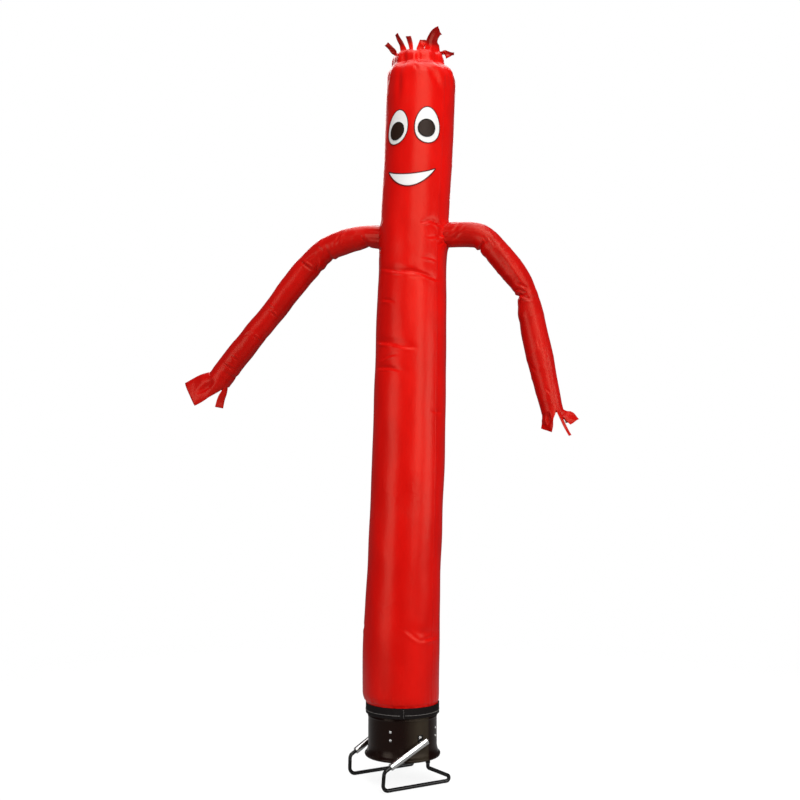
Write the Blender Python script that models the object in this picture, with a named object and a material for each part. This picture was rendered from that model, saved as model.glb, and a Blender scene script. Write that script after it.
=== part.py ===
"""Inflatable air dancer on its blower.

A tall hollow tube of coated nylon stands over the rim of a round blower, held by
a black collar band. Two smaller tubes are sewn to its sides as arms and end in
cut finger strips. The top is gathered to a neck under a ruffle with hair strips,
and a face is sewn on. The blower stands on two bent rods.

Metres, +Z up, face toward -Y. Everything is modelled round the blower's axis, and
at the end the whole part is moved so that the origin is the middle of its footprint.
A turn is an angle round the tube: 0 at the middle of the face, growing toward +X.
"""
import math
from collections import namedtuple

import bmesh
import bpy
import numpy as np
from mathutils import Matrix, Vector

# Driving dimensions
GAP = 0.0003                # clearance where two pieces meet
CLOTH = 0.002               # thickness of the body, arms, hair and hands
COLUMNS = 36                # facets round the body, the barrel and the collar
BARREL_RADIUS = 0.1525      # a 12 inch blower
BARREL_WALL = 0.003
BARREL_TOP = 0.340
LIP_BOTTOM = 0.1045         # underside of the rolled lip above the floor
HEM_RADIUS = 0.1605         # outside of the cloth under the collar
HEM_BOTTOM = 0.284
COLLAR_BOTTOM = 0.287
COLLAR_TOP = 0.331
COLLAR_THICKNESS = 0.003
NECK_HEIGHT = 3.318
NOD = 0.25                  # how steeply the top of the head tips forward
NOD_TURN = math.radians(15)
NOD_BOTTOM = 3.150
LEAN_TURN = math.radians(105)   # the side that the tube leans toward
FACE_RADIUS = 0.1665        # turns arc lengths on the face into angles
PATCH = 0.001               # thickness of the face's cloth patches
PATCH_GAP = 0.0009
ROD_RADIUS = 0.008          # middle of a facet; the rods are eight-sided
LEG_TURN = math.radians(45)     # the side of the barrel that the right leg stands at

# The body tube from hem to neck: height, sideways lean of its axis, radius
Station = namedtuple("Station", "height lean radius")
BODY = [
    Station(HEM_BOTTOM, 0.0, HEM_RADIUS),
    Station(0.333, 0.0, HEM_RADIUS),
    Station(0.347, -0.003, 0.1670),
    Station(0.375, -0.006, 0.1712),
    Station(0.530, -0.004, 0.1725),
    Station(0.773, 0.002, 0.1685),
    Station(0.930, 0.008, 0.1660),
    Station(1.200, 0.019, 0.1670),
    Station(1.410, 0.028, 0.1680),
    Station(1.685, 0.036, 0.1670),
    Station(1.900, 0.041, 0.1660),
    Station(2.180, 0.047, 0.1640),
    Station(2.330, 0.051, 0.1612),
    Station(2.400, 0.0535, 0.1630),
    Station(2.460, 0.056, 0.1638),
    Station(2.530, 0.059, 0.1640),
    Station(2.620, 0.063, 0.1640),
    Station(2.740, 0.070, 0.1640),
    Station(2.850, 0.076, 0.1640),
    Station(3.000, 0.082, 0.1665),
    Station(3.150, 0.088, 0.1670),
    Station(3.235, 0.092, 0.1658),
    Station(3.270, 0.090, 0.1610),
    Station(3.292, 0.087, 0.1530),
    Station(3.309, 0.083, 0.1400),
    Station(NECK_HEIGHT, 0.080, 0.1265),
]

# Kink lines in the body cloth: height in front, rise toward +X, middle, reach
# to each side, depth and half-width
Fold = namedtuple("Fold", "height rise turn reach depth width")
FOLDS = [
    Fold(0.683, -0.050, 52, 48, 0.004, 0.020),
    Fold(1.799, -0.036, -25, 52, 0.004, 0.018),
    Fold(1.920, -0.045, -18, 60, 0.006, 0.018),
    Fold(2.261, -0.037, 10, 80, 0.006, 0.018),
    Fold(2.498, 0.000, 44, 27, 0.005, 0.018),
]
PLEATS = 9                  # gathers round the neck
PLEAT_DEPTH = 0.004
PLEAT_BOTTOM = 3.235

# The arms' middle lines in the plane of the body's sides: how far from the
# blower's axis, height and width
ArmRow = namedtuple("ArmRow", "side height width")
ARM_RIGHT = [
    ArmRow(0.216, 2.462, 0.113),
    ArmRow(0.286, 2.461, 0.117),
    ArmRow(0.352, 2.452, 0.115),
    ArmRow(0.402, 2.422, 0.114),
    ArmRow(0.446, 2.368, 0.119),
    ArmRow(0.523, 2.265, 0.114),
    ArmRow(0.560, 2.211, 0.103),
    ArmRow(0.582, 2.167, 0.092),
    ArmRow(0.594, 2.115, 0.103),
    ArmRow(0.603, 2.043, 0.118),
    ArmRow(0.620, 1.949, 0.120),
    ArmRow(0.638, 1.865, 0.119),
    ArmRow(0.661, 1.740, 0.110),
    ArmRow(0.683, 1.640, 0.098),
]
ARM_LEFT = [
    ArmRow(-0.110, 2.474, 0.113),
    ArmRow(-0.172, 2.487, 0.104),
    ArmRow(-0.238, 2.481, 0.117),
    ArmRow(-0.306, 2.467, 0.121),
    ArmRow(-0.366, 2.447, 0.116),
    ArmRow(-0.418, 2.416, 0.116),
    ArmRow(-0.466, 2.368, 0.121),
    ArmRow(-0.515, 2.320, 0.122),
    ArmRow(-0.633, 2.178, 0.115),
    ArmRow(-0.698, 2.101, 0.113),
    ArmRow(-0.765, 2.026, 0.113),
    ArmRow(-0.842, 1.937, 0.119),
    ArmRow(-0.890, 1.880, 0.119),
    ArmRow(-0.922, 1.839, 0.121),
]
ARM_COLUMNS = 16
ARM_HOLE_RADIUS = 0.048     # air holes in the body's sides
CUFF = 0.030                # the narrow strip that the fingers are cut from

# Strips cut from the ruffle or from a cuff: first column and number of columns at
# the root, length, tip width as a share of the root's, degrees that it flares
# outward and leans sideways at its root, degrees that it curls on outward and
# swings on sideways along its length, and degrees that it twists near its root
Strip = namedtuple("Strip", "first columns length tip flare lean curl swing twist")
FINGERS_RIGHT = [
    Strip(0, 4, 0.080, 0.95, 6, -2, 0, -24, 8),
    Strip(5, 3, 0.070, 0.80, 6, 0, 6, 5, -8),
    Strip(9, 2, 0.062, 0.80, 26, 0, -6, 6, 12),
    Strip(11, 3, 0.080, 1.05, 28, 0, 10, 0, 45),
    Strip(14, 1, 0.128, 0.75, 6, 3, 4, 10, 0),
]
FINGERS_LEFT = [
    Strip(12, 6, 0.150, 1.05, 6, -18, 4, -6, 0),
    Strip(3, 2, 0.108, 1.50, 12, 0, 4, -6, -60),
    Strip(6, 3, 0.066, 0.85, 4, 26, 4, -6, -12),
    Strip(9, 2, 0.100, 0.85, 12, 12, 4, 6, 8),
]
HAIR_COLUMNS = 40
HAIR = [
    Strip(1, 8, 0.130, 0.26, 40, 0, -6, -44, 0),
    Strip(9, 5, 0.094, 0.15, 100, -34, 0, 0, 120),
    Strip(16, 2, 0.060, 0.75, 46, 0, 14, -6, -15),
    Strip(20, 2, 0.056, 0.80, 38, 0, 18, 10, 12),
    Strip(24, 2, 0.058, 0.70, 44, 0, 12, -10, 18),
    Strip(31, 2, 0.068, 0.65, 74, 0, 4, 0, 55),
    Strip(36, 2, 0.094, 0.55, 38, 17, 4, 6, 6),
    Strip(39, 1, 0.068, 1.40, 34, 2, 4, 18, 0),
]
RUFFLE = [                  # the hair's gathered ring above the neck
    Station(NECK_HEIGHT, 0.080, 0.1265),
    Station(3.325, 0.080, 0.1265),
    Station(3.337, 0.079, 0.1290),
    Station(3.352, 0.079, 0.1260),
    Station(3.368, 0.079, 0.1200),
    Station(3.383, 0.079, 0.1100),
]
RUFFLE_WAVES = 10
RUFFLE_WAVE_DEPTH = 0.003

# The face: middle of each patch as an arc length and a height, half its size,
# how much narrower an egg is at its top, and its tilt in degrees
Egg = namedtuple("Egg", "name arc height half_width half_height narrowing tilt")
EYE_WHITES = [
    Egg("eye_white_left", -0.070, 2.956, 0.059, 0.083, 0.13, 8),
    Egg("eye_white_right", 0.081, 2.954, 0.061, 0.087, 0.13, -2),
]
PUPILS = [
    Egg("pupil_left", -0.070, 2.937, 0.038, 0.041, 0.0, 8),
    Egg("pupil_right", 0.077, 2.938, 0.039, 0.041, 0.0, 0),
]
MOUTH_MIDDLE = 0.0085
MOUTH_HALF = 0.125
MOUTH_CORNERS = 2.751
MOUTH_UPPER_SAG = 0.032
MOUTH_LOWER_SAG = 0.091
MOUTH_TIP = 0.97            # where the pointed corners are rounded off

# The blower: its profile from the rim down the outside, as radius and height
BARREL_OUTSIDE = [
    (0.1505, BARREL_TOP),
    (0.1525, 0.3375),
    (0.1525, 0.3220),
    (0.1560, 0.3185),
    (0.1582, 0.3130),
    (0.1560, 0.3075),
    (0.1525, 0.3040),
    (0.1525, 0.2800),
    (0.1545, 0.2765),
    (0.1545, 0.2735),
    (0.1525, 0.2700),
    (0.1525, 0.1500),
    (0.1545, 0.1360),
    (0.1590, 0.1230),
    (0.1630, 0.1180),
    (0.1668, 0.1160),
    (0.1680, 0.1110),
    (0.1660, 0.1060),
    (0.1635, LIP_BOTTOM),
    (0.1570, LIP_BOTTOM),
]
BARREL_INSIDE = [
    (0.1555, 0.1080),
    (0.1545, 0.1220),
    (0.1508, 0.1370),
    (0.1495, 0.1510),
    (0.1495, 0.3375),
]
BOLT_TURNS = (-5, 85, 175, 265)
BOLT_HEIGHTS = (0.195, 0.229)
BOLT_RADIUS = 0.006
BOLT_THICKNESS = 0.004
GUARD_HEIGHT = 0.112
GUARD_THICKNESS = 0.004
GUARD_RINGS = [(0.000, 0.034), (0.088, 0.096), (0.1430, 0.1543)]
GUARD_SPOKES = 6
SPOKE_HALF_TURN = math.radians(3)
MOTOR_RADIUS = 0.055
MOTOR_BOTTOM = 0.150
MOTOR_TOP = 0.262
MOTOR_ARM_WIDTH = 0.020
MOTOR_ARM_BOTTOM = 0.187
MOTOR_ARM_TOP = 0.237

# The right leg's rod, corner by corner: along the barrel's side, away from the
# blower's axis, height and bend radius. The left leg is its mirror image.
RodCorner = namedtuple("RodCorner", "along away height bend")
LEG_ROD = [
    RodCorner(0.004, 0.1719, 0.1835, 0.0),
    RodCorner(-0.180, 0.1575, 0.0860, 0.022),
    RodCorner(-0.184, 0.1520, 0.0080, 0.026),
    RodCorner(0.188, 0.1520, 0.0080, 0.012),
    RodCorner(0.036, 0.1555, 0.0770, 0.012),
    RodCorner(0.036, 0.1555, 0.0960, 0.0),
]
SLEEVE_RADIUS = 0.0145
SLEEVE_BORE = 0.0093
SLEEVE_START = 0.020        # down the rod from its top end
SLEEVE_END = 0.176
LUG_RADIUS = 0.010
BRACKET_WIDTH = 0.024
BRACKET_BOTTOM = 0.166
BRACKET_TOP = 0.214
BRACKET_THICKNESS = 0.0035
LEG_BOLT_HEIGHT = 0.2065

RED = (0.62, 0.012, 0.010)
DARK_RED = (0.45, 0.010, 0.012)
WHITE = (0.90, 0.90, 0.88)
DARK = (0.012, 0.010, 0.010)
BLACK = (0.016, 0.015, 0.015)
STEEL = (0.72, 0.72, 0.72)


def clear_scene():
    for item in list(bpy.data.objects):
        bpy.data.objects.remove(item, do_unlink=True)


def make_material(name, colour, roughness, metallic=0.0):
    material = bpy.data.materials.new(name)
    material.use_nodes = True
    shader = material.node_tree.nodes["Principled BSDF"]
    shader.inputs["Base Color"].default_value = (*colour, 1.0)
    shader.inputs["Roughness"].default_value = roughness
    shader.inputs["Metallic"].default_value = metallic
    return material


def add_object(name, vertices, faces, material, smooth=True):
    """An object from plain lists, its faces turned outward."""
    mesh = bpy.data.meshes.new(name)
    mesh.from_pydata([tuple(v) for v in vertices], [], faces)
    work = bmesh.new()
    work.from_mesh(mesh)
    bmesh.ops.remove_doubles(work, verts=work.verts, dist=0.00001)
    bmesh.ops.recalc_face_normals(work, faces=work.faces)
    work.to_mesh(mesh)
    work.free()
    if smooth:
        mesh.shade_smooth()
        mesh.set_sharp_from_angle(angle=math.radians(40))
    item = bpy.data.objects.new(name, mesh)
    item.data.materials.append(material)
    bpy.context.scene.collection.objects.link(item)
    return item


def outward(turn):
    """The level direction away from the axis at a turn."""
    return Vector((math.sin(turn), -math.cos(turn), 0.0))


def smooth_value(rows, column, at, key=0):
    """A table's column read off a smooth curve that never overshoots its rows."""
    keys = [row[key] for row in rows]
    values = [row[column] for row in rows]
    at = min(max(at, keys[0]), keys[-1])
    index = min(max(np.searchsorted(keys, at) - 1, 0), len(keys) - 2)
    slopes = [(values[i + 1] - values[i]) / (keys[i + 1] - keys[i]) for i in range(len(keys) - 1)]

    def slope_at(i):
        if i == 0 or i == len(slopes):
            return slopes[min(i, len(slopes) - 1)]
        before, after = slopes[i - 1], slopes[i]
        return 0.0 if before * after <= 0 else 2 * before * after / (before + after)

    span = keys[index + 1] - keys[index]
    t = (at - keys[index]) / span
    rise = values[index + 1] - values[index]
    start, end = slope_at(index) * span, slope_at(index + 1) * span
    return values[index] + start * t + (3 * rise - 2 * start - end) * t**2 + (start + end - 2 * rise) * t**3


def axis_point(height, rows=BODY):
    """The middle of the body tube, or of the ruffle, at a height."""
    return outward(LEAN_TURN) * smooth_value(rows, 1, height) + Vector((0, 0, height))


def fold_depth(turn, height):
    """How far the kink lines draw the body cloth in."""
    depth = 0.0
    for fold in FOLDS:
        aside = (math.degrees(turn) - fold.turn + 180) % 360 - 180
        if abs(aside) < fold.reach:
            fade = math.cos(math.radians(90 * aside / fold.reach)) ** 2
            off = (height - fold.height - fold.rise * math.sin(turn)) / fold.width
            depth += fold.depth * fade * math.exp(-off * off)
    return depth


def pleat(turn, height):
    """The gathers below the neck, growing toward it."""
    growth = max(0.0, (height - PLEAT_BOTTOM) / (NECK_HEIGHT - PLEAT_BOTTOM))
    return PLEAT_DEPTH * growth * math.cos(PLEATS * turn)


def nodded(height, offset):
    """An offset from the tube's axis, lowered in front where the head tips forward."""
    share = (height - NOD_BOTTOM) / (NECK_HEIGHT - NOD_BOTTOM)
    drop = NOD * min(max(share, 0.0), 1.0) * offset.dot(outward(NOD_TURN))
    return offset - Vector((0, 0, drop))


def body_point(turn, height, out=0.0):
    """A point on the body cloth's outside, or as far out from it as asked."""
    radius = smooth_value(BODY, 2, height) - fold_depth(turn, height) + pleat(turn, height)
    return axis_point(height) + nodded(height, outward(turn) * (radius + out))


def round_shell(outer_rings, inner_rings):
    """Vertices and faces of a hollow tube, open at both ends, from its rings."""
    count = len(outer_rings[0])
    rows = len(outer_rings)
    vertices = [p for ring in outer_rings for p in ring] + [p for ring in inner_rings for p in ring]
    inner = rows * count
    faces = []
    for column in range(count):
        following = (column + 1) % count
        for row in range(rows - 1):
            a, b = row * count + column, row * count + following
            faces.append((a, b, b + count, a + count))
            faces.append((inner + b, inner + a, inner + a + count, inner + b + count))
        top = (rows - 1) * count
        faces.append((column, inner + column, inner + following, following))
        faces.append((top + following, inner + top + following, inner + top + column, top + column))
    return vertices, faces


def turned(profile, steps):
    """Vertices and faces of a closed profile of radii and heights turned round Z."""
    vertices = []
    for step in range(steps):
        turn = 2 * math.pi * step / steps
        vertices += [outward(turn) * radius + Vector((0, 0, height)) for radius, height in profile]
    count = len(profile)
    faces = []
    for step in range(steps):
        for i in range(count):
            a, b = step * count, (step + 1) % steps * count
            j = (i + 1) % count
            faces.append((a + i, a + j, b + j, b + i))
    return vertices, faces


def body_rows():
    """Ring heights of the body: one for each row of its table and three a fold."""
    rows = {station.height for station in BODY}
    for fold in FOLDS:
        rows |= {fold.height + side * fold.width for side in (-1.4, 0.0, 1.4)}
    return sorted(rows)


def make_body(material):
    """The tall tube, with the air holes that the arms are sewn round."""
    ends = [(0.375, 0.0)] + [(fold.height, fold.rise) for fold in FOLDS] + [(2.7, 0.0)]
    turns = [2 * math.pi * i / COLUMNS for i in range(COLUMNS)]

    def ring(height, out):
        rise = np.interp(height, [e[0] for e in ends], [e[1] for e in ends])
        return [body_point(turn, height + rise * math.sin(turn), out) for turn in turns]

    heights = body_rows()
    shell = round_shell([ring(h, 0.0) for h in heights], [ring(h, -CLOTH) for h in heights])
    body = add_object("body_tube", *shell, material)
    for name, rows in (("right", ARM_RIGHT), ("left", ARM_LEFT)):
        root = arm_centre(rows, 0.0)
        drill = bpy.data.meshes.new("arm_hole_" + name)
        work = bmesh.new()
        bmesh.ops.create_cone(
            work, cap_ends=True, segments=ARM_COLUMNS, depth=0.16,
            radius1=ARM_HOLE_RADIUS, radius2=ARM_HOLE_RADIUS,
            matrix=Matrix.Translation(root) @ Matrix.Rotation(math.pi / 2, 4, "Y"),
        )
        work.to_mesh(drill)
        work.free()
        cutter = bpy.data.objects.new("arm_hole_" + name, drill)
        cutter.hide_render = True
        cutter.display_type = "WIRE"
        bpy.context.scene.collection.objects.link(cutter)
        cut = body.modifiers.new("air_hole_" + name, "BOOLEAN")
        cut.operation = "DIFFERENCE"
        cut.object = cutter
    return body


def arm_values(rows, along):
    """An arm's side, height and width at a place counted in rows of its table."""
    table = [(i, *row) for i, row in enumerate(rows)]
    return [smooth_value(table, column, along) for column in (1, 2, 3)]


def arm_centre(rows, along):
    """A point on an arm's middle line, in the upright plane of the body's sides."""
    side, height, _ = arm_values(rows, along)
    depth = axis_point(rows[0].height).y
    return Vector((side, depth, height))


def arm_frame(rows, along):
    """An arm's middle, its direction and the direction square to it and to Y."""
    step = 0.25
    last = len(rows) - 1
    before = arm_centre(rows, max(along - step, 0))
    after = arm_centre(rows, min(along + step, last))
    direction = (after - before).normalized()
    square = direction.cross(Vector((0, 1, 0))).normalized()
    return arm_centre(rows, along), direction, square


def arm_ring(rows, along, inset, columns):
    """A ring of an arm's cloth; the root ring lies on the body's side."""
    centre, _, square = arm_frame(rows, along)
    radius = arm_values(rows, along)[2] / 2 - inset
    side = math.copysign(1, rows[-1].side)
    ring = []
    for i in range(columns):
        turn = 2 * math.pi * i / columns
        point = centre + (Vector((0, -1, 0)) * math.cos(turn) - side * square * math.sin(turn)) * radius
        if along == 0:
            middle = axis_point(point.z)
            reach = smooth_value(BODY, 2, point.z) + GAP
            point.x = middle.x + side * math.sqrt(reach**2 - (point.y - middle.y) ** 2)
        ring.append(point)
    return ring


def make_arm(name, rows, material):
    """One sewn arm: a hollow tube from the body's side to its cuff."""
    places = range(len(rows))
    outer = [arm_ring(rows, place, 0.0, ARM_COLUMNS) for place in places]
    inner = [arm_ring(rows, place, CLOTH, ARM_COLUMNS) for place in places]
    return add_object(name, *round_shell(outer, inner), material)


def strip_rows(root, direction, normal, strip, steps):
    """Rows of a cut strip, each its root row turned, scaled and moved along."""
    middle = sum(root, Vector()) / len(root)
    offsets = [p - middle for p in root]
    aside = direction.cross(normal).normalized()
    turning = Matrix.Rotation(math.radians(strip.lean), 3, normal)
    turning = Matrix.Rotation(math.radians(strip.flare), 3, aside) @ turning
    heading = turning @ direction
    rows = []
    for step in range(1, steps + 1):
        curl = Matrix.Rotation(math.radians(strip.curl / steps), 3, turning @ aside)
        swing = Matrix.Rotation(math.radians(strip.swing / steps), 3, turning @ normal)
        twist = Matrix.Rotation(math.radians(strip.twist / 2 if step < 3 else 0), 3, heading)
        turning = twist @ swing @ curl @ turning
        heading = (swing @ curl @ heading).normalized()
        middle = middle + heading * strip.length / steps
        share = step / steps
        scale = 1 + (strip.tip - 1) * math.sin(share * math.pi / 2) ** 0.7
        flat = 1 - 0.75 * min(1.0, 2 * share)
        row = []
        for offset in offsets:
            bow = offset.dot(normal) * normal
            row.append(middle + turning @ ((offset - bow) + bow * flat) * scale)
        rows.append(row)
    return rows


def make_stripped_ring(name, rings, strips, steps, material):
    """A narrow hollow ring of cloth with strips cut from its last edge."""
    count = len(rings[0])
    vertices = [p for ring in rings for p in ring]
    faces = []
    for row in range(len(rings) - 1):
        for column in range(count):
            a, b = row * count + column, row * count + (column + 1) % count
            faces.append((a, b, b + count, a + count))
    edge = (len(rings) - 1) * count
    middle = sum(rings[-1], Vector()) / count
    for strip in strips:
        columns = [(strip.first + i) % count for i in range(strip.columns + 1)]
        root = [rings[-1][c] for c in columns]
        before = [rings[-2][c] for c in columns]
        direction = (sum(root, Vector()) - sum(before, Vector())).normalized()
        normal = sum(root, Vector()) / len(root) - middle
        normal = (normal - normal.dot(direction) * direction).normalized()
        below = [edge + c for c in columns]
        for row in strip_rows(root, direction, normal, strip, steps):
            above = list(range(len(vertices), len(vertices) + len(row)))
            vertices += row
            for i in range(len(row) - 1):
                faces.append((below[i], below[i + 1], above[i + 1], above[i]))
            below = above
    item = add_object(name, vertices, faces, material)
    thicken = item.modifiers.new("cloth", "SOLIDIFY")
    thicken.thickness = CLOTH
    thicken.offset = 0.0
    return item


def make_hand(name, rows, strips, material):
    """The slit end of an arm: a narrow strip of its cuff and the fingers."""
    last = len(rows) - 1
    _, direction, _ = arm_frame(rows, last)
    end = arm_ring(rows, last, CLOTH / 2, ARM_COLUMNS)
    rings = [[p + direction * move for p in end] for move in (GAP, CUFF)]
    return make_stripped_ring(name, rings, strips, 6, material)


def make_hair(material):
    """The ruffle above the neck and the hair strips cut from it."""
    rings = []
    for station in RUFFLE:
        height, share = station.height, (station.height - NECK_HEIGHT) / (RUFFLE[-1].height - NECK_HEIGHT)
        ring = []
        for i in range(HAIR_COLUMNS):
            turn = 2 * math.pi * i / HAIR_COLUMNS
            wave = RUFFLE_WAVE_DEPTH * math.cos(RUFFLE_WAVES * turn)
            wave *= math.sin(math.pi * min(1.0, 1.4 * share))
            offset = nodded(height, outward(turn) * (station.radius - CLOTH / 2 + wave))
            ring.append(axis_point(height, RUFFLE) + offset + Vector((0, 0, GAP)))
        rings.append(ring)
    return make_stripped_ring("hair", rings, HAIR, 6, material)


def patch_shell(rings, closed):
    """Vertices and faces of a thin patch from rows of (turn, height, out) spots."""
    rows, count = len(rings), len(rings[0])
    vertices = []
    for layer in (0.0, PATCH):
        for ring in rings:
            vertices += [body_point(turn, height, out + layer) for turn, height, out in ring]
    top = rows * count
    faces = []
    columns = count if closed else count - 1
    for row in range(rows - 1):
        for column in range(columns):
            a = row * count + column
            b = row * count + (column + 1) % count
            faces.append((a, b, b + count, a + count))
            faces.append((top + b, top + a, top + a + count, top + b + count))
    last = (rows - 1) * count
    for column in range(columns):
        following = (column + 1) % count
        faces.append((last + column, last + following, top + last + following, top + last + column))
        if not closed:
            faces.append((following, column, top + column, top + following))
    if closed:
        faces.append(tuple(range(count - 1, -1, -1)))
        faces.append(tuple(top + i for i in range(count)))
    else:
        for row in range(rows - 1):
            for column in (0, count - 1):
                a, b = row * count + column, (row + 1) * count + column
                faces.append((a, b, top + b, top + a))
    return vertices, faces


def make_egg(egg, out, rings, columns, material):
    """An eye white or a pupil: an egg-shaped patch that follows the tube."""
    tilt = math.radians(egg.tilt)
    rows = []
    for ring in range(1, rings + 1):
        row = []
        for i in range(columns):
            angle = 2 * math.pi * i / columns
            share = ring / rings
            narrow = 1 - egg.narrowing * math.sin(angle)
            across = egg.half_width * share * math.cos(angle) * narrow
            up = egg.half_height * share * math.sin(angle)
            arc = egg.arc + across * math.cos(tilt) + up * math.sin(tilt)
            height = egg.height + up * math.cos(tilt) - across * math.sin(tilt)
            row.append((arc / FACE_RADIUS, height, out))
        rows.append(row)
    return add_object(egg.name, *patch_shell(rows, True), material)


def make_mouth(material):
    """The smile: a crescent patch between two sagging lines."""
    steps, rows = 20, []
    for level in (0.0, 0.5, 1.0):
        row = []
        for i in range(steps + 1):
            share = MOUTH_TIP * math.sin(math.pi * (i / steps - 0.5))
            belly = 1 - share**2
            upper = MOUTH_CORNERS - MOUTH_UPPER_SAG * belly
            lower = MOUTH_CORNERS - MOUTH_LOWER_SAG * belly
            arc = MOUTH_MIDDLE + MOUTH_HALF * share
            row.append((arc / FACE_RADIUS, upper + (lower - upper) * level, PATCH_GAP))
        rows.append(row)
    return add_object("mouth", *patch_shell(rows, False), material)


def make_collar(material):
    """The black webbing band round the hem, one end lapped over the other."""
    lap_turn, lap_reach, lap_rise, edge = math.radians(18), math.radians(22), 0.0022, math.radians(0.3)
    turns = {2 * math.pi * i / COLUMNS for i in range(COLUMNS)}
    turns |= {(lap_turn + side) % (2 * math.pi) for side in (0.0, edge)}
    turns = sorted(turns)

    def ring(height, radius, lapped):
        points = []
        for turn in turns:
            facet = 2 * math.pi / COLUMNS
            off_corner = min(turn % facet, facet - turn % facet)
            flat = math.cos(facet / 2) / math.cos(facet / 2 - off_corner)
            behind = (lap_turn - turn + math.pi) % (2 * math.pi) - math.pi
            rise = lap_rise if lapped and 0 <= behind < lap_reach else 0.0
            points.append(outward(turn) * (radius * flat + rise) + Vector((0, 0, height)))
        return points

    inside = HEM_RADIUS + GAP
    heights = (COLLAR_BOTTOM, COLLAR_TOP)
    outer = [ring(h, inside + COLLAR_THICKNESS, True) for h in heights]
    inner = [ring(h, inside, False) for h in heights]
    return add_object("collar_band", *round_shell(outer, inner), material)


def make_barrel(material):
    """The blower's cylinder with its beads, flare and rolled lip."""
    return add_object("blower_barrel", *turned(BARREL_OUTSIDE + BARREL_INSIDE, COLUMNS), material)


def make_guard(material):
    """The inlet guard: a hub, two rings and spokes, cut from one plate."""
    spokes = [2 * math.pi * i / GUARD_SPOKES for i in range(GUARD_SPOKES)]
    turns = []
    for spoke in spokes:
        turns += [spoke - SPOKE_HALF_TURN, spoke + SPOKE_HALF_TURN, spoke + math.pi / GUARD_SPOKES]
    radii = sorted({r for ring in GUARD_RINGS for r in ring if r > 0})
    work = bmesh.new()
    grid = [[work.verts.new(outward(t) * r + Vector((0, 0, GUARD_HEIGHT))) for t in turns] for r in radii]
    count = len(turns)
    work.faces.new(grid[0])
    for row in range(len(radii) - 1):
        middle = (radii[row] + radii[row + 1]) / 2
        in_ring = any(low < middle < high for low, high in GUARD_RINGS)
        for column in range(count):
            if in_ring or column % 3 == 0:
                following = (column + 1) % count
                corners = (grid[row][column], grid[row][following])
                corners += (grid[row + 1][following], grid[row + 1][column])
                work.faces.new(corners)
    bmesh.ops.recalc_face_normals(work, faces=work.faces)
    mesh = bpy.data.meshes.new("inlet_guard")
    work.to_mesh(mesh)
    work.free()
    guard = bpy.data.objects.new("inlet_guard", mesh)
    guard.data.materials.append(material)
    bpy.context.scene.collection.objects.link(guard)
    plate = guard.modifiers.new("plate", "SOLIDIFY")
    plate.thickness = GUARD_THICKNESS
    plate.offset = 0.0
    return guard


def make_motor(material):
    """The motor's can and the four arms that hold it to the barrel."""
    work = bmesh.new()
    height = MOTOR_TOP - MOTOR_BOTTOM
    bmesh.ops.create_cone(
        work, cap_ends=True, segments=20, depth=height, radius1=MOTOR_RADIUS, radius2=MOTOR_RADIUS,
        matrix=Matrix.Translation((0, 0, MOTOR_BOTTOM + height / 2)),
    )
    can = bpy.data.meshes.new("motor")
    work.to_mesh(can)
    work.free()
    motor = bpy.data.objects.new("motor", can)
    motor.data.materials.append(material)
    bpy.context.scene.collection.objects.link(motor)
    wall = (BARREL_RADIUS - BARREL_WALL) * math.cos(math.pi / COLUMNS) - GAP
    for number, turn in enumerate(BOLT_TURNS[:2]):
        size = (2 * wall, MOTOR_ARM_WIDTH, MOTOR_ARM_TOP - MOTOR_ARM_BOTTOM)
        middle = (MOTOR_ARM_TOP + MOTOR_ARM_BOTTOM) / 2 + number * 0.0011
        bar = bpy.data.meshes.new(f"motor_bar_{number}")
        work = bmesh.new()
        bmesh.ops.create_cube(work, size=1.0)
        bmesh.ops.scale(work, vec=size, verts=work.verts)
        turning = Matrix.Rotation(math.radians(turn) - math.pi / 2, 4, "Z")
        bmesh.ops.transform(work, matrix=Matrix.Translation((0, 0, middle)) @ turning, verts=work.verts)
        work.to_mesh(bar)
        work.free()
        cutter = bpy.data.objects.new(f"motor_bar_{number}", bar)
        cutter.hide_render = True
        cutter.display_type = "WIRE"
        bpy.context.scene.collection.objects.link(cutter)
        join = motor.modifiers.new(f"bar_{number}", "BOOLEAN")
        join.operation = "UNION"
        join.object = cutter
    return motor


def make_disc(name, centre, axis, radius, thickness, sides, material):
    """A short cylinder that stands on its centre point along an axis."""
    turning = Vector((0, 0, 1)).rotation_difference(axis).to_matrix().to_4x4()
    work = bmesh.new()
    bmesh.ops.create_cone(
        work, cap_ends=True, segments=sides, depth=thickness, radius1=radius, radius2=radius,
        matrix=Matrix.Translation(centre + axis * thickness / 2) @ turning,
    )
    mesh = bpy.data.meshes.new(name)
    work.to_mesh(mesh)
    work.free()
    item = bpy.data.objects.new(name, mesh)
    item.data.materials.append(material)
    bpy.context.scene.collection.objects.link(item)
    return item


def make_bolts(material):
    """Four pairs of bolt heads round the barrel, at the motor's arms."""
    flat = BARREL_RADIUS * math.cos(math.pi / COLUMNS) + GAP
    for side, turn in enumerate(BOLT_TURNS):
        for level, height in enumerate(BOLT_HEIGHTS):
            axis = outward(math.radians(turn))
            centre = axis * flat + Vector((0, 0, height))
            name = f"bolt_{side + 1}_{'ab'[level]}"
            make_disc(name, centre, axis, BOLT_RADIUS, BOLT_THICKNESS, 8, material)


def leg_place(mirror, along, away, height):
    """A place given beside the barrel as a point; mirror is 1 for the right leg."""
    across = outward(LEG_TURN)
    lengthwise = Vector((math.cos(LEG_TURN), math.sin(LEG_TURN), 0.0))
    return lengthwise * along + across * away * mirror + Vector((0, 0, height))


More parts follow.
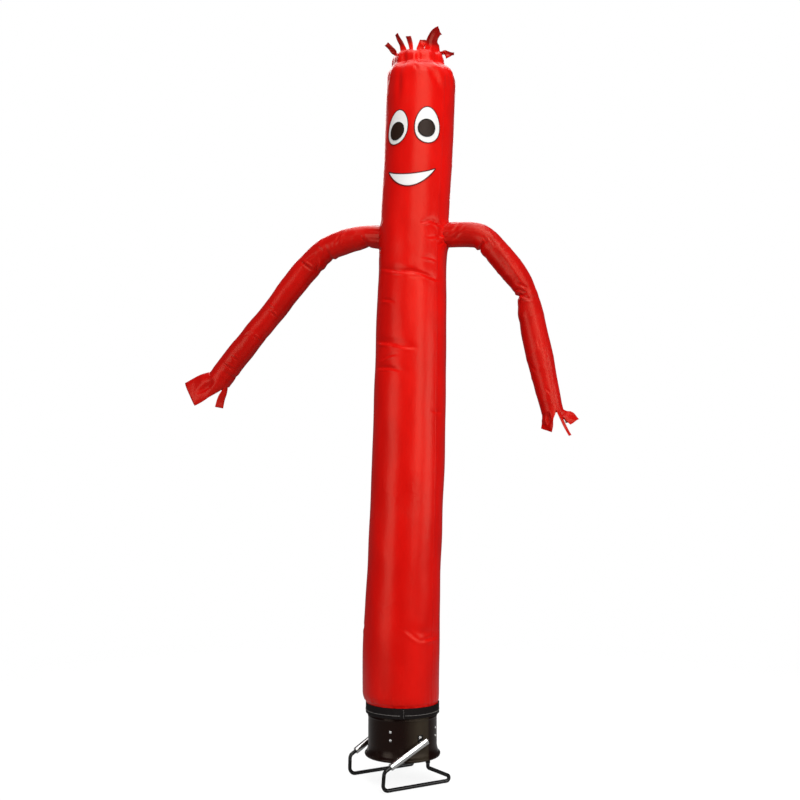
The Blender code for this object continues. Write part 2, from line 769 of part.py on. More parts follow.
def bent_path(corners, bends, arc_steps=5):
    """The points of a rod that runs straight between corners rounded by arcs."""
    path = [corners[0]]
    for i in range(1, len(corners) - 1):
        to_before = (corners[i - 1] - corners[i]).normalized()
        to_after = (corners[i + 1] - corners[i]).normalized()
        opening = to_before.angle(to_after)
        tangent = bends[i] / math.tan(opening / 2)
        middle = corners[i] + (to_before + to_after).normalized() * bends[i] / math.sin(opening / 2)
        start = corners[i] + to_before * tangent - middle
        axis = start.cross(corners[i] + to_after * tangent - middle).normalized()
        for step in range(arc_steps + 1):
            turn = Matrix.Rotation((math.pi - opening) * step / arc_steps, 3, axis)
            path.append(middle + turn @ start)
    path.append(corners[-1])
    return path


def swept(path, across, radius, sides, bore=0.0):
    """Vertices and faces of a rod, or a tube with a bore, swept along a path."""
    def ring(i, size):
        before, after = path[max(i - 1, 0)], path[min(i + 1, len(path) - 1)]
        if 0 < i < len(path) - 1:
            into, out = (path[i] - before).normalized(), (after - path[i]).normalized()
            heading = (into + out).normalized()
        else:
            heading = (after - before).normalized()
        side = (across - across.dot(heading) * heading).normalized()
        up = side.cross(heading)
        corner = size / math.cos(math.pi / sides)
        points = []
        for k in range(sides):
            turn = 2 * math.pi * (k + 0.5) / sides
            points.append(path[i] + (side * math.sin(turn) + up * math.cos(turn)) * corner)
        return points

    outer = [ring(i, radius) for i in range(len(path))]
    if bore:
        return round_shell(outer, [ring(i, bore) for i in range(len(path))])
    vertices = [p for points in outer for p in points]
    faces = []
    for i in range(len(path) - 1):
        for k in range(sides):
            a, b = i * sides + k, i * sides + (k + 1) % sides
            faces.append((a, b, b + sides, a + sides))
    faces.append(tuple(range(sides)))
    faces.append(tuple((len(path) - 1) * sides + k for k in range(sides)))
    return vertices, faces


def make_leg(side, mirror, black, steel):
    """One leg: its rod, bright sleeve, bracket, bolt and lug."""
    across = outward(LEG_TURN)
    corners = [leg_place(mirror, c.along, c.away, c.height) for c in LEG_ROD]
    path = bent_path(corners, [c.bend for c in LEG_ROD])
    add_object(f"leg_{side}", *swept(path, across, ROD_RADIUS, 8), black)

    down = (corners[1] - corners[0]).normalized()
    ends = [corners[0] + down * along for along in (-SLEEVE_START, SLEEVE_END)]
    add_object(f"leg_sleeve_{side}", *swept(ends, across, SLEEVE_RADIUS, 12, SLEEVE_BORE), steel)

    wall = BARREL_RADIUS * math.cos(math.pi / COLUMNS) + GAP
    work = bmesh.new()
    bmesh.ops.create_cube(work, size=1.0)
    size = (BRACKET_WIDTH, BRACKET_THICKNESS, BRACKET_TOP - BRACKET_BOTTOM)
    bmesh.ops.scale(work, vec=size, verts=work.verts)
    centre = leg_place(mirror, 0.0, wall + BRACKET_THICKNESS / 2, (BRACKET_TOP + BRACKET_BOTTOM) / 2)
    turning = Matrix.Rotation(LEG_TURN, 4, "Z")
    bmesh.ops.transform(work, matrix=Matrix.Translation(centre) @ turning, verts=work.verts)
    mesh = bpy.data.meshes.new(f"leg_bracket_{side}")
    work.to_mesh(mesh)
    work.free()
    bracket = bpy.data.objects.new(f"leg_bracket_{side}", mesh)
    bracket.data.materials.append(black)
    bpy.context.scene.collection.objects.link(bracket)

    face = leg_place(mirror, -0.003, wall + BRACKET_THICKNESS + GAP, LEG_BOLT_HEIGHT)
    make_disc(f"leg_bolt_{side}", face, across * mirror, BOLT_RADIUS, BOLT_THICKNESS, 8, steel)

    end = LEG_ROD[-1]
    foot = leg_place(mirror, end.along, end.away, end.height + GAP + 0.0002)
    reach = LIP_BOTTOM - GAP - foot.z
    make_disc(f"leg_lug_{side}", foot, Vector((0, 0, 1)), LUG_RADIUS, reach, 10, black)


def centre_on_footprint():
    """Moves the whole part so that the origin is the middle of its footprint."""
    bpy.context.view_layer.update()
    graph = bpy.context.evaluated_depsgraph_get()
    pieces = [o for o in bpy.data.objects if o.type == "MESH" and not o.hide_render]
    corners = []
    for piece in pieces:
        shape = piece.evaluated_get(graph)
        corners += [shape.matrix_world @ v.co for v in shape.data.vertices]
    low = Vector([min(c[i] for c in corners) for i in range(3)])
    high = Vector([max(c[i] for c in corners) for i in range(3)])
    middle = (low + high) / 2
    root = bpy.data.objects.new("air_dancer", None)
    bpy.context.scene.collection.objects.link(root)
    for item in [o for o in bpy.data.objects if o.type == "MESH"]:
        item.parent = root
    root.location = (-middle.x, -middle.y, -low.z)


def build():
    clear_scene()
    red = make_material("red_nylon", RED, 0.32)
    dark_red = make_material("red_strips", DARK_RED, 0.38)
    white = make_material("white_patch", WHITE, 0.45)
    dark = make_material("dark_patch", DARK, 0.40)
    webbing = make_material("black_webbing", BLACK, 0.60)
    gloss = make_material("black_gloss", BLACK, 0.16)
    rod = make_material("black_rod", BLACK, 0.20)
    steel = make_material("bright_steel", STEEL, 0.12, 1.0)
    plain = make_material("plain_black", BLACK, 0.50)

    make_body(red)
    make_arm("arm_right", ARM_RIGHT, red)
    make_arm("arm_left", ARM_LEFT, red)
    make_hand("hand_right", ARM_RIGHT, FINGERS_RIGHT, dark_red)
    make_hand("hand_left", ARM_LEFT, FINGERS_LEFT, dark_red)
    make_hair(dark_red)
    for egg in EYE_WHITES:
        make_egg(egg, PATCH_GAP, 4, 28, white)
    for egg in PUPILS:
        make_egg(egg, 2 * PATCH_GAP + PATCH, 3, 22, dark)
    make_mouth(white)
    make_collar(webbing)
    make_barrel(gloss)
    make_guard(plain)
    make_motor(plain)
    make_bolts(steel)
    make_leg("right", 1, rod, steel)
    make_leg("left", -1, rod, steel)
    centre_on_footprint()


build()
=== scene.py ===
"""Dressed model of an inflatable air dancer that stands on its blower.

Metres, +Z up, face toward -Y. The pieces follow the order in which the real one is
put together: blower, guard, motor, bolts, rod legs, tube, collar, arms, hands, hair
and face. A turn is an angle round the tube: 0 at the middle of the face, growing
toward +X.
"""

import math
from collections import Counter, namedtuple

import bmesh
import bpy
import numpy as np
from mathutils import Matrix, Vector


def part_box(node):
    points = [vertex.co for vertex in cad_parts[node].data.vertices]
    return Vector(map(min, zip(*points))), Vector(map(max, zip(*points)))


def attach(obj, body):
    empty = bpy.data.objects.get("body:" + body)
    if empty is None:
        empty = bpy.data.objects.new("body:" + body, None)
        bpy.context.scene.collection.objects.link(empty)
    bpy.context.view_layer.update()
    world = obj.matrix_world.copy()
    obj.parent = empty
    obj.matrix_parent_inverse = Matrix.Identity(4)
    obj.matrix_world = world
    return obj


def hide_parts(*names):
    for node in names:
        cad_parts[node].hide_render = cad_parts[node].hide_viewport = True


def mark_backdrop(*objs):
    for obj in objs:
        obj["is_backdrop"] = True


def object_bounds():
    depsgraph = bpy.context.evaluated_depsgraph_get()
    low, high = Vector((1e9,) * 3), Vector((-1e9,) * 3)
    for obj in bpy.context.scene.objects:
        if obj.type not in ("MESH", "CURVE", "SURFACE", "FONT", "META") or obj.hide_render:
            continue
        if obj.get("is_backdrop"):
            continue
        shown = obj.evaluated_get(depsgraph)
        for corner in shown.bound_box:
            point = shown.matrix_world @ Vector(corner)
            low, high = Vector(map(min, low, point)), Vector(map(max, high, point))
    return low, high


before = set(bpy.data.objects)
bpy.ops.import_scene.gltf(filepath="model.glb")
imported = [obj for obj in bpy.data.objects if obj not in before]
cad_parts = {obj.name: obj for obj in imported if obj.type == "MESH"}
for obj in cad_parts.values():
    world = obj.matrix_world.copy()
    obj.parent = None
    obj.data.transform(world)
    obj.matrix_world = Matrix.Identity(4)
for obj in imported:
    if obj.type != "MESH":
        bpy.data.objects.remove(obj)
cad_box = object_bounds()


# ---------------------------------------------------------------- blower barrel
# A spun steel cylinder with two beads and a flared, rolled lip round the air inlet.
# It is sprayed gloss black and the paint is dusty low down; one side is rougher and painted a lighter
# olive, a painted sheen.

barrel_low, barrel_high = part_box("blower_barrel")
AXIS = Vector(((barrel_low[0] + barrel_high[0]) / 2, (barrel_low[1] + barrel_high[1]) / 2, 0.0))
BLACK_PAINT = (0.0070, 0.0016, 0.0013, 1.0)
# The way across the barrel along which the painted sheen patch lies
SHEEN_PATCH_WAY = (0.966, 0.259)
WELD = 0.000005


def outward(turn):
    """The level direction away from the axis at a turn."""
    return Vector((math.sin(turn), -math.cos(turn), 0.0))


def put(item):
    """Puts an object in the scene."""
    bpy.context.scene.collection.objects.link(item)
    return item


def add_piece(name, vertices, faces, material, smooth_angle=40.0, cut=None):
    """A mesh piece in the blower's own frame, with its cloth cut as UVs in metres."""
    mesh = bpy.data.meshes.new(name)
    mesh.from_pydata([tuple(v) for v in vertices], [], faces)
    mesh.transform(Matrix.Translation(AXIS))
    if cut is not None:
        layer = mesh.uv_layers.new(name="cut")
        layer.data.foreach_set("uv", [value for face in cut for corner in face for value in corner])
    mesh.shade_smooth()
    if smooth_angle:
        mesh.set_sharp_from_angle(angle=math.radians(smooth_angle))
    mesh.materials.append(material)
    return put(bpy.data.objects.new(name, mesh))


def turn_outward(piece):
    """Makes every face of a closed piece look outward."""
    work = bmesh.new()
    work.from_mesh(piece.data)
    bmesh.ops.remove_doubles(work, verts=work.verts, dist=WELD)
    bmesh.ops.recalc_face_normals(work, faces=work.faces)
    work.to_mesh(piece.data)
    work.free()
    return piece


def settle(piece, slot, *nodes):
    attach(piece, "root")
    if nodes:
        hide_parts(*nodes)
    return piece


class Wire:
    """A socket of a material's node; sums written with it add the nodes for them."""

    def __init__(self, finish, socket):
        self.finish = finish
        self.socket = socket

    def maths(self, operation, *values):
        """A sum of this kind with the values as its terms."""
        numbered = dict(enumerate(values))
        return self.finish.node("ShaderNodeMath", {"operation": operation}, numbered)

    def __add__(self, other):
        return self.maths("ADD", self, other)

    __radd__ = __add__

    def __sub__(self, other):
        return self.maths("SUBTRACT", self, other)

    def __rsub__(self, other):
        return self.maths("SUBTRACT", other, self)

    def __mul__(self, other):
        return self.maths("MULTIPLY", self, other)

    __rmul__ = __mul__

    def __pow__(self, other):
        return self.maths("POWER", self, other)

    def sine(self):
        """Its sine, taken in radians."""
        return self.maths("SINE", self)

    def size(self):
        """Its size without its sign."""
        return self.maths("ABSOLUTE", self)

    def most(self, other):
        """The larger of two."""
        return self.maths("MAXIMUM", self, other)

    def step(self, low, high):
        """0 below low, 1 above high and smooth between them."""
        settings = {"interpolation_type": "SMOOTHSTEP"}
        return self.finish.node("ShaderNodeMapRange", settings, {0: self, 1: low, 2: high})


class Finish:
    """A material that is built up from nodes."""

    def __init__(self, name, **sockets):
        self.material = bpy.data.materials.new(name)
        self.material.use_nodes = True
        self.tree = self.material.node_tree
        self.shader = self.tree.nodes["Principled BSDF"]
        self.set(**sockets)

    def node(self, kind, settings, sockets, output=0):
        """Adds any node: its settings first, then the values or links of its sockets."""
        node = self.tree.nodes.new(kind)
        for key, value in settings.items():
            setattr(node, key, value)
        for key, value in sockets.items():
            self.feed(node.inputs[key], value)
        return Wire(self, node.outputs[output])

    def feed(self, socket, value):
        """Links a wire to a socket, or sets its value."""
        if isinstance(value, Wire):
            self.tree.links.new(value.socket, socket)
        else:
            socket.default_value = value

    def set(self, **sockets):
        """Feeds the shader's own sockets, their names written with _ for a space."""
        for key, value in sockets.items():
            self.feed(self.shader.inputs[key.replace("_", " ")], value)

    def mix(self, factor, first, second):
        """One colour over another."""
        return self.node("ShaderNodeMix", {"data_type": "RGBA"}, {0: factor, 6: first, 7: second}, 2)

    def place(self):
        """The object's own coordinates, in metres."""
        return self.node("ShaderNodeTexCoord", {}, {}, 3)

    def axes(self, vector):
        """The three numbers of a vector."""
        first = self.node("ShaderNodeSeparateXYZ", {}, {0: vector})
        return [Wire(self, output) for output in first.socket.node.outputs]

    def cloth_place(self):
        """Across and along the cut cloth, in metres."""
        return self.axes(self.node("ShaderNodeUVMap", {"uv_map": "cut"}, {}))[:2]

    def weave(self, pitch):
        """Crossing threads of the cut cloth, from -1 to 1."""
        across, along = self.cloth_place()
        return (across * (math.tau / pitch)).sine() * (along * (math.tau / pitch)).sine()

    def stretch(self, vector, scale):
        """A vector with each of its numbers scaled."""
        return self.node("ShaderNodeVectorMath", {"operation": "MULTIPLY"}, {0: vector, 1: scale})

    def cloud(self, vector, scale, detail=2.0, roughness=0.5):
        """Soft noise from 0 to 1."""
        sockets = {"Vector": vector, "Scale": scale, "Detail": detail, "Roughness": roughness}
        return self.node("ShaderNodeTexNoise", {"noise_dimensions": "3D"}, sockets)

    def relief(self, height):
        """Bumps of a height given in metres."""
        sockets = {"Height": height, "Distance": 1.0, "Strength": 1.0}
        self.set(Normal=self.node("ShaderNodeBump", {}, sockets))


def gloss_black_paint():
    """Sprayed gloss black over steel, dusty low down, faintly rippled, and with a painted olive sheen on
    one side.
    """
    paint = Finish("gloss_black_paint", Specular_IOR_Level=0.20, Specular_Tint=(1.0, 0.84, 0.68, 1.0))
    place = paint.place()
    side_x, side_y, height = paint.axes(place)
    dust = paint.cloud(place, 9.0, 5.0, 0.6).step(0.45, 0.80) * (1 - height.step(0.11, 0.20))
    smear_and_sheen = paint.cloud(paint.stretch(place, (1.0, 1.0, 0.25)), 26.0, 4.0, 0.6)
    scratch = paint.cloud(paint.stretch(place, (9.0, 9.0, 160.0)), 4.0, 3.0, 0.7).step(0.66, 0.72)
    # A patch on the front right side is rougher and painted a lighter olive: a painted sheen, streaked by
    # the smear noise.
    side = (side_x - AXIS.x) * SHEEN_PATCH_WAY[0] + (side_y - AXIS.y) * SHEEN_PATCH_WAY[1]
    sheen_patch = side.step(-0.005, 0.085) * (1 - side.step(0.106, 0.118)) * (1 - side_y.step(-0.03, 0.03))
    colour = paint.mix(dust * 0.18, BLACK_PAINT, (0.060, 0.050, 0.042, 1.0))
    colour = paint.mix(sheen_patch * (0.35 + smear_and_sheen * 0.5), colour, (0.050, 0.040, 0.026, 1.0))
    paint.set(Base_Color=paint.mix(scratch * 0.12, colour, (0.05, 0.05, 0.052, 1.0)))
    paint.set(Roughness=0.17 + smear_and_sheen * 0.12 + dust * 0.25 + scratch * 0.12 + sheen_patch * 0.16)
    paint.relief(paint.cloud(place, 260.0, 1.0) * 0.00002 - scratch * 0.00001)
    return paint.material


def rounded(profile, radius, arc_steps=4):
    """A closed profile of radii and heights with its corners rounded."""
    count = len(profile)
    result = []
    for i in range(count):
        corner = Vector(profile[i])
        before = Vector(profile[i - 1]) - corner
        after = Vector(profile[(i + 1) % count]) - corner
        reach = min(radius, 0.45 * before.length, 0.45 * after.length)
        start = corner + before.normalized() * reach
        end = corner + after.normalized() * reach
        for step in range(arc_steps + 1):
            t = step / arc_steps
            result.append(start.lerp(corner, t).lerp(corner.lerp(end, t), t))
    return result


def grid_faces(rows, columns, round_rows=False, round_columns=True, first=0):
    """Faces between rows of points, which may close on themselves both ways."""
    faces = []
    for row in range(rows if round_rows else rows - 1):
        here, there = first + row * columns, first + (row + 1) % rows * columns
        for column in range(columns if round_columns else columns - 1):
            after = (column + 1) % columns
            faces.append((here + column, here + after, there + after, there + column))
    return faces


def lathe(name, profile, steps, material, place=Vector(), turning=Matrix.Identity(3)):
    """A closed profile of radii and heights turned round a line, upright if not turned."""
    vertices = []
    for step in range(steps):
        way = outward(math.tau * step / steps)
        vertices += [place + turning @ (way * radius + Vector((0, 0, up))) for radius, up in profile]
    faces = grid_faces(steps, len(profile), round_rows=True)
    return turn_outward(add_piece(name, vertices, faces, material, 50.0))


BARREL_STEPS, BARREL_ROUNDING = 144, 0.005
BARREL_PROFILE = [
    (0.1502, 0.3400), (0.1525, 0.3385), (0.1525, 0.3220), (0.1558, 0.3185), (0.1582, 0.3130),
    (0.1558, 0.3075), (0.1525, 0.3040), (0.1525, 0.2795), (0.1545, 0.2770), (0.1545, 0.2730),
    (0.1525, 0.2705), (0.1525, 0.1500), (0.1545, 0.1360), (0.1590, 0.1230), (0.1630, 0.1180),
    (0.1668, 0.1160), (0.1680, 0.1110), (0.1660, 0.1060), (0.1635, 0.1045), (0.1570, 0.1045),
    (0.1555, 0.1080), (0.1545, 0.1220), (0.1508, 0.1370), (0.1495, 0.1510), (0.1495, 0.3385),
]
gloss_black = gloss_black_paint()
profile = rounded(BARREL_PROFILE, BARREL_ROUNDING)
barrel = lathe("blower_barrel_spun", profile, BARREL_STEPS, gloss_black)
settle(barrel, "black_gloss", "blower_barrel")


# ---------------------------------------------------------- inlet guard and motor
# A stamped guard plate closes the inlet, and the motor hangs above it on four arms.
# Both are satin black; they keep their frame solids, with softened edges.


def satin_black_paint():
    """Satin black over steel, dusty where the air passes."""
    paint = Finish("satin_black_paint", Specular_IOR_Level=0.45)
    place = paint.place()
    dust = paint.cloud(place, 14.0, 5.0, 0.6).step(0.40, 0.75)
    paint.set(Base_Color=paint.mix(dust * 0.4, (0.013, 0.013, 0.014, 1.0), (0.06, 0.055, 0.05, 1.0)))
    paint.set(Roughness=0.42 + dust * 0.25)
    paint.relief(paint.cloud(place, 420.0, 2.0) * 0.00004)
    return paint.material


def soften(node, width, material):
    """Rounds a frame solid's edges and gives it its finish."""
    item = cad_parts[node]
    edge = item.modifiers.new("soft_edge", "BEVEL")
    edge.width = width
    edge.segments = 3
    edge.limit_method = "ANGLE"
    edge.angle_limit = math.radians(35)
    item.data.materials.clear()
    item.data.materials.append(material)
    return item


satin_black = satin_black_paint()
soften("inlet_guard", 0.0012, satin_black)
soften("motor", 0.0020, satin_black)


# ------------------------------------------------------------------ barrel bolts
# Bright pan-head screws with washers, in four pairs, hold the motor's arms. Each head
# is domed with a cross recess, and sits on a thin washer against the barrel.

BARREL_RADIUS = 0.1525
BOLT_TURNS = (-5, 85, 175, 265)
BOLT_HEIGHTS = (0.195, 0.229)
SCREW_PROFILE = [
    (0.0000, 0.0000), (0.0060, 0.0000), (0.0060, 0.0008), (0.0046, 0.0009), (0.0045, 0.0024),
    (0.0040, 0.0033), (0.0028, 0.0039), (0.0012, 0.0041), (0.0000, 0.0034),
]


def bright_steel_finish():
    """Polished bright steel with fine rubbing marks and a little grime."""
    steel = Finish("bright_steel", Metallic=1.0)
    place = steel.place()
    rub = steel.cloud(steel.stretch(place, (60.0, 60.0, 240.0)), 5.0, 3.0, 0.7)
    grime = steel.cloud(place, 60.0, 4.0, 0.6).step(0.55, 0.80)
    steel.set(Base_Color=steel.mix(grime * 0.4, (0.78, 0.78, 0.77, 1.0), (0.33, 0.31, 0.29, 1.0)))
    steel.set(Roughness=0.10 + rub * 0.10 + grime * 0.20)
    steel.relief(rub * 0.00001)
    return steel.material


def make_screw(name, place, way, node):
    """A pan-head screw whose washer lies at a place and whose head points away."""
    steps = 24
    turning = Vector((0, 0, 1)).rotation_difference(way).to_matrix()
    vertices = []
    for step in range(steps):
        angle = math.tau * step / steps
        for radius, height in SCREW_PROFILE:
            dent = 1.0 if radius > 0.003 else 1 - 0.25 * abs(math.cos(2 * angle)) ** 8
            spot = Vector((math.cos(angle) * radius, math.sin(angle) * radius, height * dent))
            vertices.append(place + turning @ spot)
    faces = grid_faces(steps, len(SCREW_PROFILE), round_rows=True, round_columns=False)
    return settle(turn_outward(add_piece(name, vertices, faces, bright_steel)), "bright_steel", node)


bright_steel = bright_steel_finish()
for side, turn in enumerate(BOLT_TURNS):
    for level, height in enumerate(BOLT_HEIGHTS):
        way = outward(math.radians(turn))
        spot = way * (BARREL_RADIUS + 0.0001) + Vector((0, 0, height))
        node = f"bolt_{side + 1}_{'ab'[level]}"
        make_screw(node.replace("bolt", "screw"), spot, way, node)


# --------------------------------------------------------------------- rod legs
# Each leg is one bent steel rod, painted gloss black. Its front run goes up through
# a polished sleeve to a bolted bracket, and its back run ends in a lug under the lip.

LEG_TURN = math.radians(45)
ROD_RADIUS = 0.008
RodCorner = namedtuple("RodCorner", "along away height bend")
LEG_ROD = [RodCorner(*row) for row in (
    (0.004, 0.1719, 0.1835, 0.0), (-0.180, 0.1575, 0.0860, 0.022), (-0.184, 0.1520, 0.0080, 0.026),
    (0.188, 0.1520, 0.0080, 0.012), (0.036, 0.1555, 0.0770, 0.012), (0.036, 0.1555, 0.0960, 0.0),
)]
SLEEVE_RADIUS, SLEEVE_BORE, SLEEVE_ROUNDING = 0.0145, 0.0088, 0.0022
SLEEVE_START, SLEEVE_END = 0.020, 0.176
LEG_BOLT_ALONG, LEG_BOLT_HEIGHT = -0.003, 0.2065
# The brackets lie on the frame barrel's flats, of which there are 36 round it
BARREL_FLATS, BRACKET_THICKNESS, BRACKET_PLAY = 36, 0.0035, 0.0003


def rod_paint():
    """Gloss black on rod, worn to grey where it stands on the ground."""
    paint = Finish("rod_paint", Specular_IOR_Level=0.35)
    place = paint.place()
    height = paint.axes(place)[2]
    worn = paint.cloud(place, 70.0, 4.0, 0.65).step(0.50, 0.70) * (1 - height.step(0.001, 0.008))
    dust = paint.cloud(place, 24.0, 4.0, 0.6).step(0.45, 0.80)
    colour = paint.mix(dust * 0.12, (0.0035, 0.0028, 0.0026, 1.0), (0.06, 0.055, 0.05, 1.0))
    paint.set(Base_Color=paint.mix(worn, colour, (0.30, 0.29, 0.28, 1.0)))
    paint.set(Metallic=worn, Roughness=0.16 + dust * 0.22 + worn * 0.2)
    paint.relief(paint.cloud(place, 300.0, 2.0) * 0.00003)
    return paint.material


def leg_place(mirror, along, away, height):
    """A place given beside the barrel as a point; mirror is 1 for the right leg."""
    lengthwise = Vector((math.cos(LEG_TURN), math.sin(LEG_TURN), 0.0))
    return lengthwise * along + outward(LEG_TURN) * away * mirror + Vector((0, 0, height))


def bent_path(corners, bends, arc_steps):
    """The points of a rod that runs straight between corners rounded by arcs."""
    path = [corners[0]]
    for i in range(1, len(corners) - 1):
        to_before = (corners[i - 1] - corners[i]).normalized()
        to_after = (corners[i + 1] - corners[i]).normalized()
        opening = to_before.angle(to_after)
        middle = corners[i] + (to_before + to_after).normalized() * bends[i] / math.sin(opening / 2)
        reach = bends[i] / math.tan(opening / 2)
        start = corners[i] + to_before * reach - middle
        axis = start.cross(corners[i] + to_after * reach - middle).normalized()
        for step in range(arc_steps + 1):
            path.append(middle + Matrix.Rotation((math.pi - opening) * step / arc_steps, 3, axis) @ start)
    path.append(corners[-1])
    return path


def sweep(name, path, across, sizes, sides, material):
    """A rod along a path; sizes are its radius at each of the path's points."""
    vertices = []
    for i, spot in enumerate(path):
        into = (spot - path[max(i - 1, 0)]).normalized() if i else Vector()
        out = (path[i + 1] - spot).normalized() if i < len(path) - 1 else Vector()
        heading = (into + out).normalized()
        side = (across - across.dot(heading) * heading).normalized()
        up = side.cross(heading)
        for k in range(sides):
            angle = math.tau * k / sides
            vertices.append(spot + (side * math.sin(angle) + up * math.cos(angle)) * sizes[i])
    faces = [tuple(range(sides)), tuple((len(path) - 1) * sides + k for k in range(sides))]
    faces += grid_faces(len(path), sides)
    return turn_outward(add_piece(name, vertices, faces, material))


def make_sleeve(name, top, bottom):
    """A polished tube with rolled ends, open at both of them."""
    length = (bottom - top).length
    profile = [(SLEEVE_BORE, 0.0), (SLEEVE_RADIUS, 0.0), (SLEEVE_RADIUS, length), (SLEEVE_BORE, length)]
    profile = rounded(profile, SLEEVE_ROUNDING, 5)
    turning = Vector((0, 0, 1)).rotation_difference((bottom - top).normalized()).to_matrix()
    return lathe(name, profile, 40, bright_steel, top, turning)


black_rod = rod_paint()
for side, mirror in (("right", 1), ("left", -1)):
    across = outward(LEG_TURN)
    corners = [leg_place(mirror, c.along, c.away, c.height) for c in LEG_ROD]
    path = bent_path(corners, [c.bend for c in LEG_ROD], 12)
    near_top, near_foot = path[0].lerp(path[1], 0.01), path[-2].lerp(path[-1], 0.8)
    path = [path[0], near_top] + path[1:-1] + [near_foot, path[-1]]
    sizes = [ROD_RADIUS * 0.8] + [ROD_RADIUS] * (len(path) - 2) + [ROD_RADIUS * 0.85]
    rod = sweep(f"rod_leg_{side}", path, across, sizes, 24, black_rod)
    settle(rod, "black_rod", f"leg_{side}")

    down = (corners[1] - corners[0]).normalized()
    top, bottom = corners[0] - down * SLEEVE_START, corners[0] + down * SLEEVE_END
    sleeve = make_sleeve(f"sleeve_{side}", top, bottom)
    settle(sleeve, "bright_steel", f"leg_sleeve_{side}")

    face = BARREL_RADIUS * math.cos(math.pi / BARREL_FLATS) + BRACKET_PLAY + BRACKET_THICKNESS
    spot = leg_place(mirror, LEG_BOLT_ALONG, face, LEG_BOLT_HEIGHT)
    make_screw(f"leg_screw_{side}", spot, across * mirror, f"leg_bolt_{side}")
    soften(f"leg_bracket_{side}", 0.0009, black_rod)
    soften(f"leg_lug_{side}", 0.0008, black_rod)


# --------------------------------------------------------------------- body tube
# One tall hollow tube of coated red nylon, blown tight by the air. Its long seam runs
# up beside the face, its foot is drawn in under the collar and its top is gathered to
# the neck. Kinks and soft hollows cross it where the moving air has creased it.

Station = namedtuple("Station", "height lean radius")
HEM_RADIUS, HEM_TOP = 0.1605, 0.333
NECK_HEIGHT = 3.318
BODY = [Station(*row) for row in (
    (0.284, 0.0, HEM_RADIUS), (HEM_TOP, 0.0, HEM_RADIUS),
    (0.347, -0.003, 0.1670), (0.375, -0.006, 0.1712),
    (0.530, -0.004, 0.1725), (0.773, 0.002, 0.1685), (0.930, 0.008, 0.1660), (1.200, 0.019, 0.1670),
    (1.410, 0.028, 0.1680), (1.685, 0.036, 0.1670), (1.900, 0.041, 0.1660), (2.180, 0.047, 0.1640),
    (2.330, 0.051, 0.1612), (2.400, 0.0535, 0.1630), (2.460, 0.056, 0.1638), (2.530, 0.059, 0.1640),
    (2.620, 0.063, 0.1640), (2.740, 0.070, 0.1640), (2.850, 0.076, 0.1640), (3.000, 0.082, 0.1665),
    (3.150, 0.088, 0.1670), (3.235, 0.092, 0.1658), (3.270, 0.090, 0.1610), (3.292, 0.087, 0.1530),
    (3.309, 0.083, 0.1400), (NECK_HEIGHT, 0.080, 0.1265),
)]
LEAN_TURN = math.radians(105)
# The tube's top droops one way: its slope there, the way and the height it starts at
NOD, NOD_TURN, NOD_BOTTOM = 0.25, math.radians(15), 3.150

